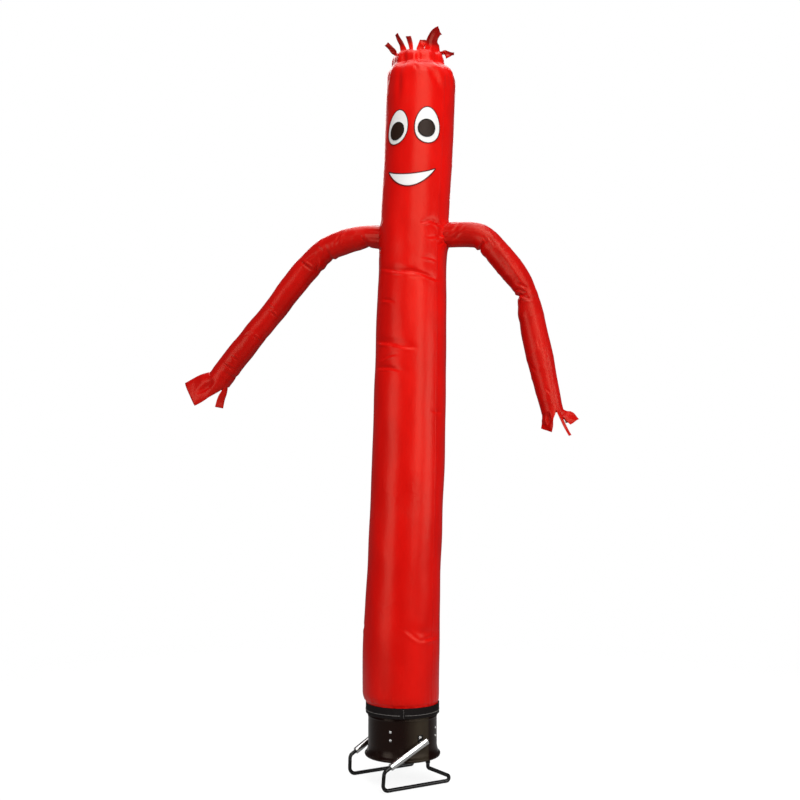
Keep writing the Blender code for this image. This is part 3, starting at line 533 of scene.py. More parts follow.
# Creases in the unrolled cloth: from and to as degrees of turn and height, depth in
# millimetres, half-width and the bright ridge beside it as a share of the depth
Crease = namedtuple("Crease", "from_turn from_height to_turn to_height depth width ridge")
CREASES = [Crease(*row) for row in (
    (-58, 2.294, 74, 2.222, 4.5, 0.0065, 0.80), (-20, 2.262, 48, 2.238, 1.6, 0.0050, 0.80),
    (24, 2.480, 44, 2.503, 4.5, 0.0060, 0.80), (40, 2.503, 66, 2.486, 4.5, 0.0065, 0.70),
    (54, 2.440, 74, 2.412, 3.5, 0.0055, 0.80), (60, 2.395, 78, 2.425, 2.6, 0.0050, 0.80),
    (34, 2.424, 56, 2.430, 1.6, 0.0055, 0.60), (-74, 2.410, -52, 2.388, 3.4, 0.0055, 0.80),
    (-76, 2.505, -50, 2.530, 2.2, 0.0055, 0.80), (-70, 2.365, -58, 2.330, 2.0, 0.0050, 0.80),
    (26, 2.322, 58, 2.318, 3.4, 0.0055, 0.70), (-47, 2.146, -12, 2.114, 3.0, 0.0060, 0.80),
    (-58, 2.060, -22, 2.052, 1.8, 0.0050, 0.70), (-62, 2.024, -30, 2.014, 1.8, 0.0050, 0.70),
    (-56, 1.958, -10, 1.917, 4.0, 0.0065, 0.80), (-14, 1.918, 24, 1.903, 2.2, 0.0055, 0.70),
    (-47, 1.851, -4, 1.879, 1.6, 0.0060, 1.40), (-56, 1.832, 2, 1.799, 3.6, 0.0060, 0.80),
    (48, 1.622, 78, 1.618, 2.6, 0.0055, 0.70), (52, 1.648, 76, 1.652, 1.4, 0.0050, 0.70),
    (-32, 1.536, -3, 1.534, 1.8, 0.0055, 0.60), (-16, 0.988, -6, 0.978, 2.4, 0.0090, 0.40),
    (20, 0.668, 44, 0.609, 3.0, 0.0065, 0.70), (42, 0.609, 80, 0.624, 3.8, 0.0065, 0.70),
    (-60, 0.720, -30, 0.706, 1.6, 0.0060, 0.60), (-26, 3.060, -24, 3.300, 5.0, 0.0160, 0.60),
    (50, 3.120, 30, 3.296, 6.0, 0.0170, 0.70), (36, 3.180, 22, 3.300, 3.0, 0.0110, 0.60),
    (76, 3.170, 62, 3.290, 4.0, 0.0100, 0.60), (10, 3.245, 2, 3.310, 3.0, 0.0100, 0.60),
    (-62, 3.210, -52, 3.300, 4.0, 0.0110, 0.50), (104, 3.200, 118, 3.300, 4.5, 0.0120, 0.50),
    (150, 3.180, 142, 3.300, 4.5, 0.0120, 0.50), (196, 3.190, 186, 3.300, 4.5, 0.0120, 0.50),
    (226, 3.170, 236, 3.300, 4.5, 0.0120, 0.50), (268, 3.200, 262, 3.300, 4.0, 0.0110, 0.50),
    (110, 2.330, 170, 2.280, 4.0, 0.011, 0.60), (150, 1.930, 215, 1.975, 4.0, 0.011, 0.60),
    (195, 2.190, 260, 2.235, 3.4, 0.010, 0.60), (120, 1.360, 165, 1.335, 2.4, 0.009, 0.60),
    (230, 1.220, 275, 1.250, 2.2, 0.009, 0.60), (140, 0.742, 205, 0.700, 3.4, 0.010, 0.60),
    (250, 0.640, 300, 0.668, 2.8, 0.010, 0.60), (160, 2.760, 205, 2.735, 1.8, 0.009, 0.60),
    (135, 3.020, 185, 3.050, 1.8, 0.010, 0.60),
)]
# The deeper, wider folds that the frame's tube has too
Fold = namedtuple("Fold", "height rise turn reach depth width")
FOLDS = [Fold(*row) for row in (
    (0.683, -0.050, 52, 48, 0.004, 0.020), (1.799, -0.036, -25, 52, 0.004, 0.018),
    (1.920, -0.045, -18, 60, 0.006, 0.018), (2.261, -0.037, 10, 80, 0.006, 0.018),
    (2.498, 0.000, 44, 27, 0.005, 0.018),
)]
TUBE_RADIUS = 0.1665
CLOTH = 0.0008
# The arms' holes as degrees of turn, height and the shift of the gathers round them
ARM_HOLES, HOLE_RADIUS = ((90, 2.462, 0.4), (270, 2.474, 1.7)), 0.057
# The cloth is pulled smoother round the face: its middle and how far that reaches
FACE_HEIGHT, FACE_REACH = 2.86, 0.24
# Where the gathers of the neck start: the short ones and the long ones
GATHER_FOOT, LONG_GATHER_FOOT = 3.235, 3.10


def smooth_curve(keys, values, at):
    """Values read off a smooth curve through a table, which never overshoots it."""
    keys, values = np.asarray(keys, float), np.asarray(values, float)
    at = np.clip(np.asarray(at, float), keys[0], keys[-1])
    slopes = np.diff(values) / np.diff(keys)
    product = slopes[:-1] * slopes[1:]
    total = np.where(np.abs(slopes[:-1] + slopes[1:]) < 1e-12, 1.0, slopes[:-1] + slopes[1:])
    inner = np.where(product > 0, 2 * product / total, 0.0)
    tangents = np.concatenate([[slopes[0]], inner, [slopes[-1]]])
    i = np.clip(np.searchsorted(keys, at) - 1, 0, len(keys) - 2)
    span = keys[i + 1] - keys[i]
    t = (at - keys[i]) / span
    rise = values[i + 1] - values[i]
    start, end = tangents[i] * span, tangents[i + 1] * span
    return values[i] + start * t + (3 * rise - 2 * start - end) * t**2 + (start + end - 2 * rise) * t**3


def body_table(column, at):
    """A column of the tube's table at a height: 1 is its lean and 2 its radius."""
    return smooth_curve([s.height for s in BODY], [s[column] for s in BODY], at)


def body_middle(height):
    """Where the tube's middle line stands at a height: to the right and back."""
    lean = body_table(1, height)
    return lean * math.sin(LEAN_TURN), -lean * math.cos(LEAN_TURN)


def even_turns(count):
    """Turns evenly spaced round a ring."""
    return np.arange(count) * 2 * math.pi / count


def soft_waves(seed, size, x, y, z, count=14):
    """Smooth, seeded unevenness of about -1 to 1 whose humps are of a given size."""
    rng = np.random.default_rng(seed)
    total = 0.0
    for _ in range(count):
        way = rng.normal(size=3)
        way *= 2 * math.pi / size * rng.uniform(0.6, 1.4) / np.linalg.norm(way)
        total = total + np.sin(way[0] * x + way[1] * y + way[2] * z + rng.uniform(0, 2 * math.pi))
    return total / math.sqrt(count)


def crumple(seed, size, x, y, z):
    """Sharp-crested creases in a seeded network: 1 along each line and 0 between."""
    crest = 0.24
    lines = np.exp(-((soft_waves(seed, size, x, y, z, 9) / crest) ** 2))
    patches = np.clip(0.5 + 0.9 * soft_waves(seed + 50, 2.2 * size, x, y, z, 7), 0.0, 1.0)
    return lines * patches


def turned_from(turn, middle):
    """How far a turn lies from another in degrees, the short way round."""
    return (np.degrees(turn) - middle + 180) % 360 - 180


def shoulder_pucker(turn, height):
    """Short gathers in the cloth round the two arms' seams."""
    gather_ring, gather_reach, rim_height, rim_reach = 0.060, 0.026, 0.0045, 0.012
    total = 0.0
    for middle_turn, middle_height, phase in ARM_HOLES:
        arc = turned_from(turn, middle_turn) * math.radians(1) * 0.164
        up = height - middle_height
        away = np.hypot(arc, up)
        angle = np.arctan2(up, arc)
        ring = np.exp(-((away - gather_ring) / gather_reach) ** 2)
        ripple = 0.0018 * np.sin(9 * angle + phase) + 0.0010 * np.sin(16 * angle + 2 * phase)
        total = total + ring * ripple
        total = total + rim_height * np.exp(-((away - HOLE_RADIUS) / rim_reach) ** 2)
    return total


def crease_relief(creases, radius, turn, height):
    """A table of creases on a tube: each a sharp dip with a raised ridge beside it."""
    depth = np.zeros(np.broadcast(turn, height).shape)
    for crease in creases:
        middle = (crease.from_turn + crease.to_turn) / 2
        arc = turned_from(turn, middle) * math.radians(1) * radius
        half = math.radians(crease.to_turn - crease.from_turn) / 2 * radius
        rise = (crease.to_height - crease.from_height) / 2
        length = math.hypot(half, rise)
        up = height - (crease.from_height + crease.to_height) / 2
        along = (arc * half + up * rise) / length
        across = (-arc * rise + up * half) / length
        across = across + 0.024 * radius * np.sin(along * 31 + crease.from_height * 40)
        fade = np.clip(1.15 - np.abs(along) / length, 0.0, 1.0)
        fade = fade * fade * (3 - 2 * fade)
        dip = np.exp(-((across / crease.width) ** 2))
        ridge = np.exp(-(((across + 1.9 * crease.width) / (1.1 * crease.width)) ** 2))
        depth += fade * crease.depth * 0.001 * (crease.ridge * ridge - dip)
    return depth


def cloth_relief(turn, height):
    """How far the body cloth stands in or out of its plain shape."""
    turn, height = np.asarray(turn, float), np.asarray(height, float)
    depth = np.zeros(np.broadcast(turn, height).shape)
    for fold in FOLDS:
        aside = turned_from(turn, fold.turn)
        swell = np.cos(np.radians(90 * aside / fold.reach)) ** 2
        fade = np.where(np.abs(aside) < fold.reach, swell, 0.0)
        off = (height - fold.height - fold.rise * np.sin(turn)) / fold.width
        depth -= fold.depth * fade * np.exp(-off * off)
    depth += crease_relief(CREASES, TUBE_RADIUS, turn, height)
    x, y = np.sin(turn) * 0.165, -np.cos(turn) * 0.165
    calm = 1 - 0.75 * np.exp(-(((height - FACE_HEIGHT) / FACE_REACH) ** 4)) * (np.cos(turn) > 0.1)
    depth += calm * (0.0016 * soft_waves(3, 0.42, x, y, height * 0.55)
                     + 0.0008 * soft_waves(5, 0.13, x, y, height * 0.7))
    depth += 0.0011 * calm * (crumple(71, 0.30, 0.5 * x, 0.5 * y, height) - 0.2)
    depth += shoulder_pucker(turn, height)
    above_collar = np.exp(-np.maximum(height - 0.336, 0.0) / 0.030)
    gather = np.sin(26 * turn + 1.5 * np.sin(5 * turn)) + 0.6 * np.sin(43 * turn + 2 * np.sin(3 * turn))
    depth += 0.0011 * above_collar * gather * (height > HEM_TOP)
    return depth


def gathers(turn):
    """The pleats that the cord draws into the cloth at the neck."""
    pleats = 0.0040 * np.cos(9 * turn + 0.4 * np.sin(2 * turn))
    return pleats + 0.0011 * np.sin(19 * turn + 1.3 * np.sin(4 * turn))


def neck_gather(turn, height):
    """The gathers below the neck, which grow toward it and fade into the dome."""
    growth = np.clip((height - GATHER_FOOT) / (NECK_HEIGHT - GATHER_FOOT), 0.0, 1.0)
    long_growth = np.clip((height - LONG_GATHER_FOOT) / (NECK_HEIGHT - LONG_GATHER_FOOT), 0.0, 1.0) ** 2
    return growth * gathers(turn) + 0.0022 * long_growth * np.sin(5 * turn + 0.6)


def body_surface(turn, height, out=0.0):
    """Points on the body cloth's outside, or as far out from it as asked."""
    turn, height = np.broadcast_arrays(np.asarray(turn, float), np.asarray(height, float))
    radius = body_table(2, height) + cloth_relief(turn, height) + neck_gather(turn, height) + out
    middle_x, middle_y = body_middle(height)
    side, front = np.sin(turn) * radius, -np.cos(turn) * radius
    share = np.clip((height - NOD_BOTTOM) / (NECK_HEIGHT - NOD_BOTTOM), 0.0, 1.0)
    drop = NOD * share * (side * math.sin(NOD_TURN) - front * math.cos(NOD_TURN))
    return np.stack([middle_x + side, middle_y + front, height - drop], axis=-1)


def dimmed(colour, share):
    """A colour at a share of its brightness."""
    return tuple(share * c for c in colour[:3]) + (1.0,)


def red_nylon_finish(name, red, dark, grid=0.0065, below=None):
    """Coated ripstop nylon: satin, finely woven, with its raised grid of threads.

    Below a height it can take the tube's own red, with a darker red above it as painted shade."""
    nylon = Finish(name, Specular_IOR_Level=0.30, Specular_Tint=(1.0, 0.60, 0.42, 1.0))
    place = nylon.place()
    across, along = nylon.cloth_place()
    threads = nylon.weave(0.0012)
    ribs_along = (across * (math.pi / grid)).sine().size() ** 26
    ribs = ribs_along.most((along * (math.pi / grid)).sine().size() ** 26)
    mottle = nylon.cloud(nylon.stretch(place, (1.0, 1.0, 0.45)), 7.0, 4.0, 0.55)
    fine = nylon.cloud(place, 90.0, 3.0, 0.6)
    soil = nylon.cloud(place, 5.0, 5.0, 0.6).step(0.52, 0.80)
    rib_colour = dimmed(dark, 0.72)
    if below:
        higher = nylon.axes(place)[2].step(below - 0.010, below + 0.016)
        red = nylon.mix(higher, NYLON_RED, red)
        dark = nylon.mix(higher, NYLON_DEEP, dark)
    colour = nylon.mix(mottle.step(0.30, 0.72), dark, red)
    colour = nylon.mix(ribs * 0.10, colour, rib_colour)
    nylon.set(Base_Color=nylon.mix(soil * 0.06, colour, (0.22, 0.09, 0.06, 1.0)))
    nylon.set(Roughness=0.22 + fine * 0.07 + mottle * 0.08 + ribs * 0.05)
    wrinkle = nylon.cloud(nylon.stretch(place, (1.0, 1.0, 0.6)), 34.0, 3.0, 0.55)
    bent = nylon.cloud(nylon.stretch(place, (0.8, 0.8, 1.2)), 11.0, 1.5, 0.45)
    lines = 1 - (bent - 0.5).size().step(0.0, 0.045)
    where = nylon.cloud(place, 4.5, 1.0).step(0.50, 0.66)
    nylon.relief(threads * 0.00001 + ribs * 0.00002 + wrinkle * 0.0008 + lines * where * 0.0003)
    return nylon.material


def ring_rows(rings, wrap, width, ups):
    """Faces and cut coordinates of rows of points; the width and ups are in metres."""
    count = len(rings[0])
    columns = count if wrap else count - 1
    cut = []
    for low, high in zip(ups, ups[1:]):
        for column in range(columns):
            left, right = width * column / count, width * (column + 1) / count
            cut.append(((left, low), (right, low), (right, high), (left, high)))
    return grid_faces(len(rings), count, round_columns=wrap), cut


def thicken(piece, thickness, offset=0.0, crisp=0):
    """Turns a single layer into cloth with a thickness.

    Open edges among its first points, as many as crisp says, are shaded square."""
    if crisp:
        uses = Counter(key for face in piece.data.polygons for key in face.edge_keys)
        for edge in piece.data.edges:
            if uses[edge.key] == 1 and max(edge.key) < crisp:
                edge.use_edge_sharp = True
    shell = piece.modifiers.new("cloth", "SOLIDIFY")
    shell.thickness = thickness
    shell.offset = offset
    return piece


BODY_COLUMNS = 144
ROW_STEP, FINE_STEP, LEAST_STEP = 0.0155, 0.0036, 0.0022
CREASED_HEIGHTS = (
    (HEM_TOP, 0.375), (0.600, 0.675), (1.610, 1.626), (1.790, 1.965), (2.115, 2.148), (2.215, 2.330),
    (2.392, 2.530), (3.265, NECK_HEIGHT),
)
NYLON_RED, NYLON_DEEP = (0.80, 0.0042, 0.0024, 1.0), (0.66, 0.003, 0.0018, 1.0)
red_nylon = red_nylon_finish("red_nylon", NYLON_RED, NYLON_DEEP)


def row_heights():
    """The heights of the tube's rows of points, closer where it is creased."""
    heights = set(np.round(np.arange(0.289, NECK_HEIGHT, ROW_STEP), 4)) | {NECK_HEIGHT}
    for low, high in CREASED_HEIGHTS:
        heights |= set(np.round(np.arange(low, high, FINE_STEP), 4))
    heights = sorted(float(h) for h in heights)
    kept = [heights[0]]
    for height in heights[1:]:
        if height - kept[-1] > LEAST_STEP:
            kept.append(height)
    return kept[:-1] + [NECK_HEIGHT]


heights = row_heights()
rings = body_surface(even_turns(BODY_COLUMNS)[None, :], np.array(heights)[:, None])
faces, cut = ring_rows(rings, True, math.tau * TUBE_RADIUS, heights)
body = add_piece("body_tube_nylon", rings.reshape(-1, 3), faces, red_nylon, 0, cut)
thicken(body, CLOTH, -1.0)
settle(body, "red_nylon", "body_tube")


# ------------------------------------------------------------------ collar band
# A black webbing band straps the tube's foot to the rim. One end laps over the other
# beside the front, and a row of grey stitches runs round it, with a short one at the lap.

COLLAR_BOTTOM, COLLAR_TOP = 0.287, 0.331
COLLAR_INSIDE, COLLAR_THICKNESS = HEM_RADIUS + 0.0003, 0.0030
COLLAR_FACE = COLLAR_INSIDE + COLLAR_THICKNESS + 0.0002
LAP_TURN, LAP_REACH, LAP_RISE = math.radians(18), math.radians(22), 0.0022
STITCHES_UP, LAP_STITCHES_BACK = 0.014, 0.025


def webbing_finish():
    """Black woven webbing with slanting ribs and a little lint."""
    webbing = Finish("black_webbing", Specular_IOR_Level=0.15)
    across, along = webbing.cloth_place()
    ribs = ((across + along) * (math.tau / 0.0022)).sine() * 0.5 + 0.5
    threads = ((across - along * 0.6) * (math.tau / 0.0009)).sine() * 0.5 + 0.5
    lint = webbing.cloud(webbing.place(), 160.0, 4.0, 0.7).step(0.58, 0.75)
    colour = webbing.mix(ribs, (0.003, 0.002, 0.002, 1.0), (0.009, 0.006, 0.006, 1.0))
    webbing.set(Base_Color=webbing.mix(lint * 0.2, colour, (0.06, 0.05, 0.05, 1.0)))
    webbing.set(Roughness=0.62 + threads * 0.15)
    webbing.relief(ribs * 0.00025 + threads * 0.00006)
    return webbing.material


def thread_finish(name, colour):
    """Twisted sewing thread."""
    thread = Finish(name, Roughness=0.55)
    twist = thread.cloud(thread.place(), 900.0, 2.0)
    thread.set(Base_Color=thread.mix(twist, dimmed(colour, 0.6), colour))
    thread.relief(twist * 0.0001)
    return thread.material


def make_stitches(name, path, normals, material, slot, length=0.0040, gap=0.0022, radius=0.00045):
    """A row of thread stitches along a path, each a small pod lying on the cloth."""
    pitch, sides, lift = 0.001, 6, 0.0002
    spots = [0.0]
    for a, b in zip(path, path[1:]):
        spots.append(spots[-1] + (Vector(b) - Vector(a)).length)
    total = spots[-1]
    even = np.arange(0, total, pitch)
    even_path = [np.interp(even, spots, [p[i] for p in path]) for i in range(3)]
    even_normals = [np.interp(even, spots, [n[i] for n in normals]) for i in range(3)]
    vertices, faces = [], []
    at = 0.0
    while at + length < total:
        i, j = int(at / pitch), min(int((at + length) / pitch), len(even) - 1)
        start, end = Vector([g[i] for g in even_path]), Vector([g[j] for g in even_path])
        normal = Vector([g[i] for g in even_normals]).normalized()
        side = (end - start).cross(normal).normalized()
        base = len(vertices)
        for share, size in ((0.0, 0.35), (0.25, 1.0), (0.75, 1.0), (1.0, 0.35)):
            middle = start.lerp(end, share) + normal * lift
            for k in range(sides):
                angle = math.tau * k / sides
                way = side * math.cos(angle) + normal * math.sin(angle)
                vertices.append(middle + way * radius * size)
        faces += grid_faces(4, sides, first=base)
        faces += [tuple(base + row * sides + k for k in range(sides)) for row in (0, 3)]
        at += length + gap
    return settle(turn_outward(add_piece(name, vertices, faces, material)), slot)


def lap_rise(turn):
    """How far the lapped end stands out at a turn."""
    behind = (LAP_TURN - turn + math.pi) % math.tau - math.pi
    if not 0 <= behind < LAP_REACH:
        return 0.0
    return LAP_RISE * min(1.0, (LAP_REACH - behind) / math.radians(3))


def make_collar():
    """The band: two faces and rounded edges, with its lapped end standing out."""
    lap_edge = {LAP_TURN, LAP_TURN + math.radians(0.35)}
    turns = sorted({2 * math.pi * i / 180 for i in range(180)} | lap_edge)
    section = rounded([(0.0, COLLAR_BOTTOM), (COLLAR_THICKNESS, COLLAR_BOTTOM),
                       (COLLAR_THICKNESS, COLLAR_TOP), (0.0, COLLAR_TOP)], 0.0012, 3)
    rings = []
    for spot in section:
        ring = []
        for turn in turns:
            wavy = 0.0003 * math.sin(7 * turn) * (spot[0] > 0.001)
            out = COLLAR_INSIDE + spot[0] + lap_rise(turn) * (spot[0] > 0.001) + wavy
            ring.append(outward(turn) * out + Vector((0, 0, spot[1])))
        rings.append(ring)
    rings.append(rings[0])
    ups = [0.0]
    for a, b in zip(section, section[1:] + section[:1]):
        ups.append(ups[-1] + (Vector(b) - Vector(a)).length)
    faces, cut = ring_rows(rings, True, math.tau * COLLAR_INSIDE, ups)
    vertices = [p for ring in rings for p in ring]
    band = turn_outward(add_piece("collar_webbing", vertices, faces, black_webbing, cut=cut))
    return settle(band, "black_webbing", "collar_band")


black_webbing = webbing_finish()
grey_thread = thread_finish("grey_thread", (0.50, 0.48, 0.46, 1.0))
collar = make_collar()
turns = [2 * math.pi * i / 240 + LAP_TURN + 0.02 for i in range(236)]
path = [outward(t) * (COLLAR_FACE + lap_rise(t)) + Vector((0, 0, COLLAR_BOTTOM + STITCHES_UP))
        for t in turns]
make_stitches("collar_stitches", path, [outward(t) for t in turns], grey_thread, "black_webbing",
              0.0050, 0.0012, 0.0007)
way = outward(LAP_TURN - LAP_STITCHES_BACK)
levels = np.linspace(COLLAR_BOTTOM + 0.004, COLLAR_TOP - 0.004, 12)
path = [way * (COLLAR_FACE + LAP_RISE) + Vector((0, 0, h)) for h in levels]
make_stitches("collar_lap_stitches", path, [way] * 12, grey_thread, "black_webbing")


# ------------------------------------------------------------------ body seams
# The tube is one panel whose edges meet in a felled seam up the side, sewn with two
# rows of red thread over a narrow raised ridge.

SEAM_TURNS = [(0.34, 67.5), (0.57, 67.6), (2.13, 57.5), (3.33, 55.0)]
red_thread = thread_finish("red_thread", (0.50, 0.008, 0.007, 1.0))


def seam_turn(height):
    """The seam's turn at a height."""
    return np.radians(np.interp(height, [s[0] for s in SEAM_TURNS], [s[1] for s in SEAM_TURNS]))


def make_seam_strip():
    """The felled seam: a raised ribbon of the same cloth along the tube."""
    ups = np.arange(0.340, 3.290, 0.010)
    offsets = (-0.0065, -0.0055, 0.0, 0.0055, 0.0065)
    lifts = (0.0001, 0.0004, 0.0005, 0.0004, 0.0001)
    columns = [body_surface(seam_turn(ups) + off / TUBE_RADIUS, ups, lift)
               for off, lift in zip(offsets, lifts)]
    rings = np.stack(columns, axis=1)
    faces, cut = ring_rows(rings, False, 0.016, list(ups))
    return settle(add_piece("body_seam", rings.reshape(-1, 3), faces, red_nylon, 0, cut), "red_nylon")


seam = make_seam_strip()
seam_ups = np.arange(0.345, 3.285, 0.01)
for number, off in enumerate((-0.0038, 0.0038)):
    path = body_surface(seam_turn(seam_ups) + off / TUBE_RADIUS, seam_ups, 0.0005)
    ways = [outward(t) for t in seam_turn(seam_ups)]
    make_stitches(f"body_seam_stitches_{number + 1}", path, ways, red_thread,
                                       "red_nylon", radius=0.0003)


# ------------------------------------------------------------------------- arms
# Two tapered tubes of the same nylon are sewn to the tube's sides, round air holes.
# Each is bent by the moving air, and its cloth crumples where it kinks. A seam runs
# along the underside, and a ring of stitches joins the root to the body.

ArmRow = namedtuple("ArmRow", "side height width")
ARM_RIGHT = [ArmRow(*row) for row in (
    (0.216, 2.462, 0.113), (0.286, 2.461, 0.117), (0.352, 2.452, 0.115), (0.402, 2.422, 0.114),
    (0.446, 2.368, 0.119), (0.523, 2.265, 0.114), (0.560, 2.211, 0.103), (0.582, 2.167, 0.092),
    (0.594, 2.115, 0.103), (0.603, 2.043, 0.118), (0.620, 1.949, 0.120), (0.638, 1.865, 0.119),
    (0.661, 1.740, 0.110), (0.683, 1.640, 0.098),
)]
ARM_LEFT = [ArmRow(*row) for row in (
    (-0.110, 2.474, 0.113), (-0.172, 2.487, 0.104), (-0.238, 2.481, 0.117), (-0.306, 2.467, 0.121),
    (-0.366, 2.447, 0.116), (-0.418, 2.416, 0.116), (-0.466, 2.368, 0.121), (-0.515, 2.320, 0.122),
    (-0.633, 2.178, 0.115), (-0.698, 2.101, 0.113), (-0.765, 2.026, 0.113), (-0.842, 1.937, 0.119),
    (-0.890, 1.880, 0.119), (-0.922, 1.839, 0.121),
)]
# Where an arm's cloth kinks: the place along it in table rows, the side that is
# pinched (0 in front, 90 on the inner side of the bend) and the depth in metres
Kink = namedtuple("Kink", "along side depth width")
KINKS_RIGHT = [Kink(*row) for row in (
    (3.1, 95, 0.0075, 0.17), (3.9, 75, 0.0030, 0.16), (7.2, 88, 0.0100, 0.22), (7.9, 330, 0.0030, 0.22),
    (9.1, 100, 0.0025, 0.24),
)]
KINKS_LEFT = [Kink(*row) for row in (
    (1.0, 90, 0.0050, 0.28), (4.3, 88, 0.0060, 0.17), (5.9, 95, 0.0045, 0.22), (9.6, 80, 0.0020, 0.20),
    (12.4, 80, 0.0030, 0.18),
)]
# Sharper creases, measured as the tube's are, with metres along the arm as heights
CREASES_RIGHT = [Crease(*row) for row in (
    (-20, 0.095, 46, 0.031, 3.2, 0.0048, 0.9), (-44, 0.066, 24, 0.036, 2.4, 0.0042, 0.9),
    (-14, 0.196, -7, 0.268, 2.6, 0.0045, 0.9), (2, 0.178, 12, 0.232, 2.4, 0.0042, 0.9),
    (-52, 0.188, -36, 0.236, 2.0, 0.0045, 0.8), (10, 0.214, 74, 0.196, 3.0, 0.0050, 0.9),
    (-16, 0.262, 4, 0.510, -2.6, 0.0100, 0.5), (26, 0.464, -22, 0.520, 4.2, 0.0055, 1.0),
    (60, 0.505, -24, 0.570, 4.6, 0.0055, 1.1), (70, 0.472, 6, 0.522, 3.6, 0.0050, 0.9),
    (-12, 0.745, -8, 0.800, 1.8, 0.0045, 0.8), (56, 0.846, 28, 0.892, 2.2, 0.0048, 0.8),
    (6, 0.965, -20, 1.006, 2.0, 0.0045, 0.8), (120, 0.300, 170, 0.330, 2.6, 0.0060, 0.8),
    (170, 0.540, 230, 0.575, 3.2, 0.0060, 0.8), (140, 0.210, 200, 0.180, 2.6, 0.0055, 0.8),
)]
CREASES_LEFT = [Crease(*row) for row in (
    (-40, 0.166, 18, 0.224, 3.4, 0.0050, 1.2), (2, 0.094, 54, 0.069, 2.6, 0.0045, 0.9),
    (-26, 0.312, 22, 0.293, 2.6, 0.0048, 0.9), (-34, 0.414, 58, 0.398, 4.6, 0.0060, 1.1),
    (6, 0.326, -18, 0.438, 2.8, 0.0055, 1.0), (34, 0.352, 72, 0.400, 3.4, 0.0050, 1.0),
    (0, 0.690, 68, 0.696, 3.0, 0.0046, 1.0), (-28, 0.676, 20, 0.670, 2.4, 0.0044, 0.9),
    (14, 0.834, 80, 0.839, 2.8, 0.0046, 1.0), (-14, 0.868, 10, 0.818, 2.2, 0.0044, 0.9),
    (-4, 0.980, 42, 0.978, 2.4, 0.0046, 0.9), (-16, 1.036, 60, 1.022, 2.8, 0.0050, 0.9),
    (130, 0.330, 190, 0.300, 2.8, 0.0060, 0.8), (150, 0.700, 215, 0.740, 2.6, 0.0060, 0.8),
    (210, 0.430, 270, 0.460, 2.4, 0.0055, 0.8), (140, 0.120, 200, 0.150, 2.6, 0.0055, 0.8),
)]
ARM_COLUMNS, ARM_STEP, ARM_RADIUS = 80, 0.0045, 0.057
UNDERSIDE = math.radians(96)
# Where an arm has left the body and where its root is sewn, in table rows
ROOT_ROWS, ROOT_STITCHES = 0.8, 0.22
# The arms and hands are of the tube's own nylon; the darker red given them here is painted shade.
shaded_arm_nylon = red_nylon_finish("shaded_arm_nylon", (0.60, 0.0034, 0.0022, 1.0), (0.46, 0.003, 0.0018, 1.0))


def arm_values(rows, along):
    """The side, height and width of an arm's table at places along it."""
    places = range(len(rows))
    return [smooth_curve(places, [row[i] for row in rows], along) for i in range(3)]


def arm_centre(rows, along):
    """Points on an arm's middle line, in the plane of the body's sides."""
    side, height, _ = arm_values(rows, along)
    back = np.full_like(side, body_middle(rows[0].height)[1])
    return np.stack([side, back, height], axis=-1)


def arm_directions(rows, along):
    """An arm's direction and the direction square to it and to Y."""
    step, last = 0.25, len(rows) - 1
    ahead, behind = np.minimum(along + step, last), np.maximum(along - step, 0)
    heading = arm_centre(rows, ahead) - arm_centre(rows, behind)
    heading /= np.linalg.norm(heading, axis=-1, keepdims=True)
    square = np.cross(heading, np.array([0.0, 1.0, 0.0]))
    return heading, square / np.linalg.norm(square, axis=-1, keepdims=True)


def path_lengths(points):
    """How far along a path each of its points lies."""
    steps = np.linalg.norm(np.diff(points, axis=0), axis=1)
    return np.concatenate([[0.0], np.cumsum(steps)])


def arm_reach(rows):
    """Places along an arm in table rows, and how many metres along they lie."""
    places = np.arange(0, len(rows) - 1 + 1e-6, 0.05)
    return places, path_lengths(arm_centre(rows, places))


def arm_relief(rows, kinks, turn, along):
    """How far an arm's cloth stands in or out of its plain round shape."""
    creases, seed = (CREASES_RIGHT, 21) if rows is ARM_RIGHT else (CREASES_LEFT, 33)
    total = np.zeros(np.broadcast(turn, along).shape)
    for number, kink in enumerate(kinks):
        aside = turned_from(turn, kink.side)
        fade = np.exp(-((aside / 68.0) ** 2))
        slant = 0.0016 * aside * (1 if number % 2 else -1)
        off = (along - kink.along - slant) / kink.width
        total += kink.depth * fade * (0.5 * np.exp(-(((off + 1.7) / 1.1) ** 2)) - np.exp(-off * off))
    total += crease_relief(creases, ARM_RADIUS, turn, np.interp(along, *arm_reach(rows)))
    spot = arm_centre(rows, along)
    x, y = np.sin(turn) * 0.06, np.cos(turn) * 0.06
    way_x, way_z = spot[..., 0] + 0.6 * x, spot[..., 2] + 0.5 * x
    total += 0.0011 * soft_waves(seed, 0.17, way_x, y, way_z)
    total += 0.0013 * (crumple(seed + 2, 0.17, way_x, 0.6 * y, way_z) - 0.25)
    total += 0.0008 * (crumple(seed + 3, 0.10, way_x, 0.6 * y, way_z) - 0.25)
    root = np.exp(-((along / 0.75) ** 2))
    total += root * (0.0014 * np.sin(9 * turn + 0.8) + 0.0008 * np.sin(16 * turn + 2.1))
    return total + 0.0045 * np.exp(-along / 0.14)


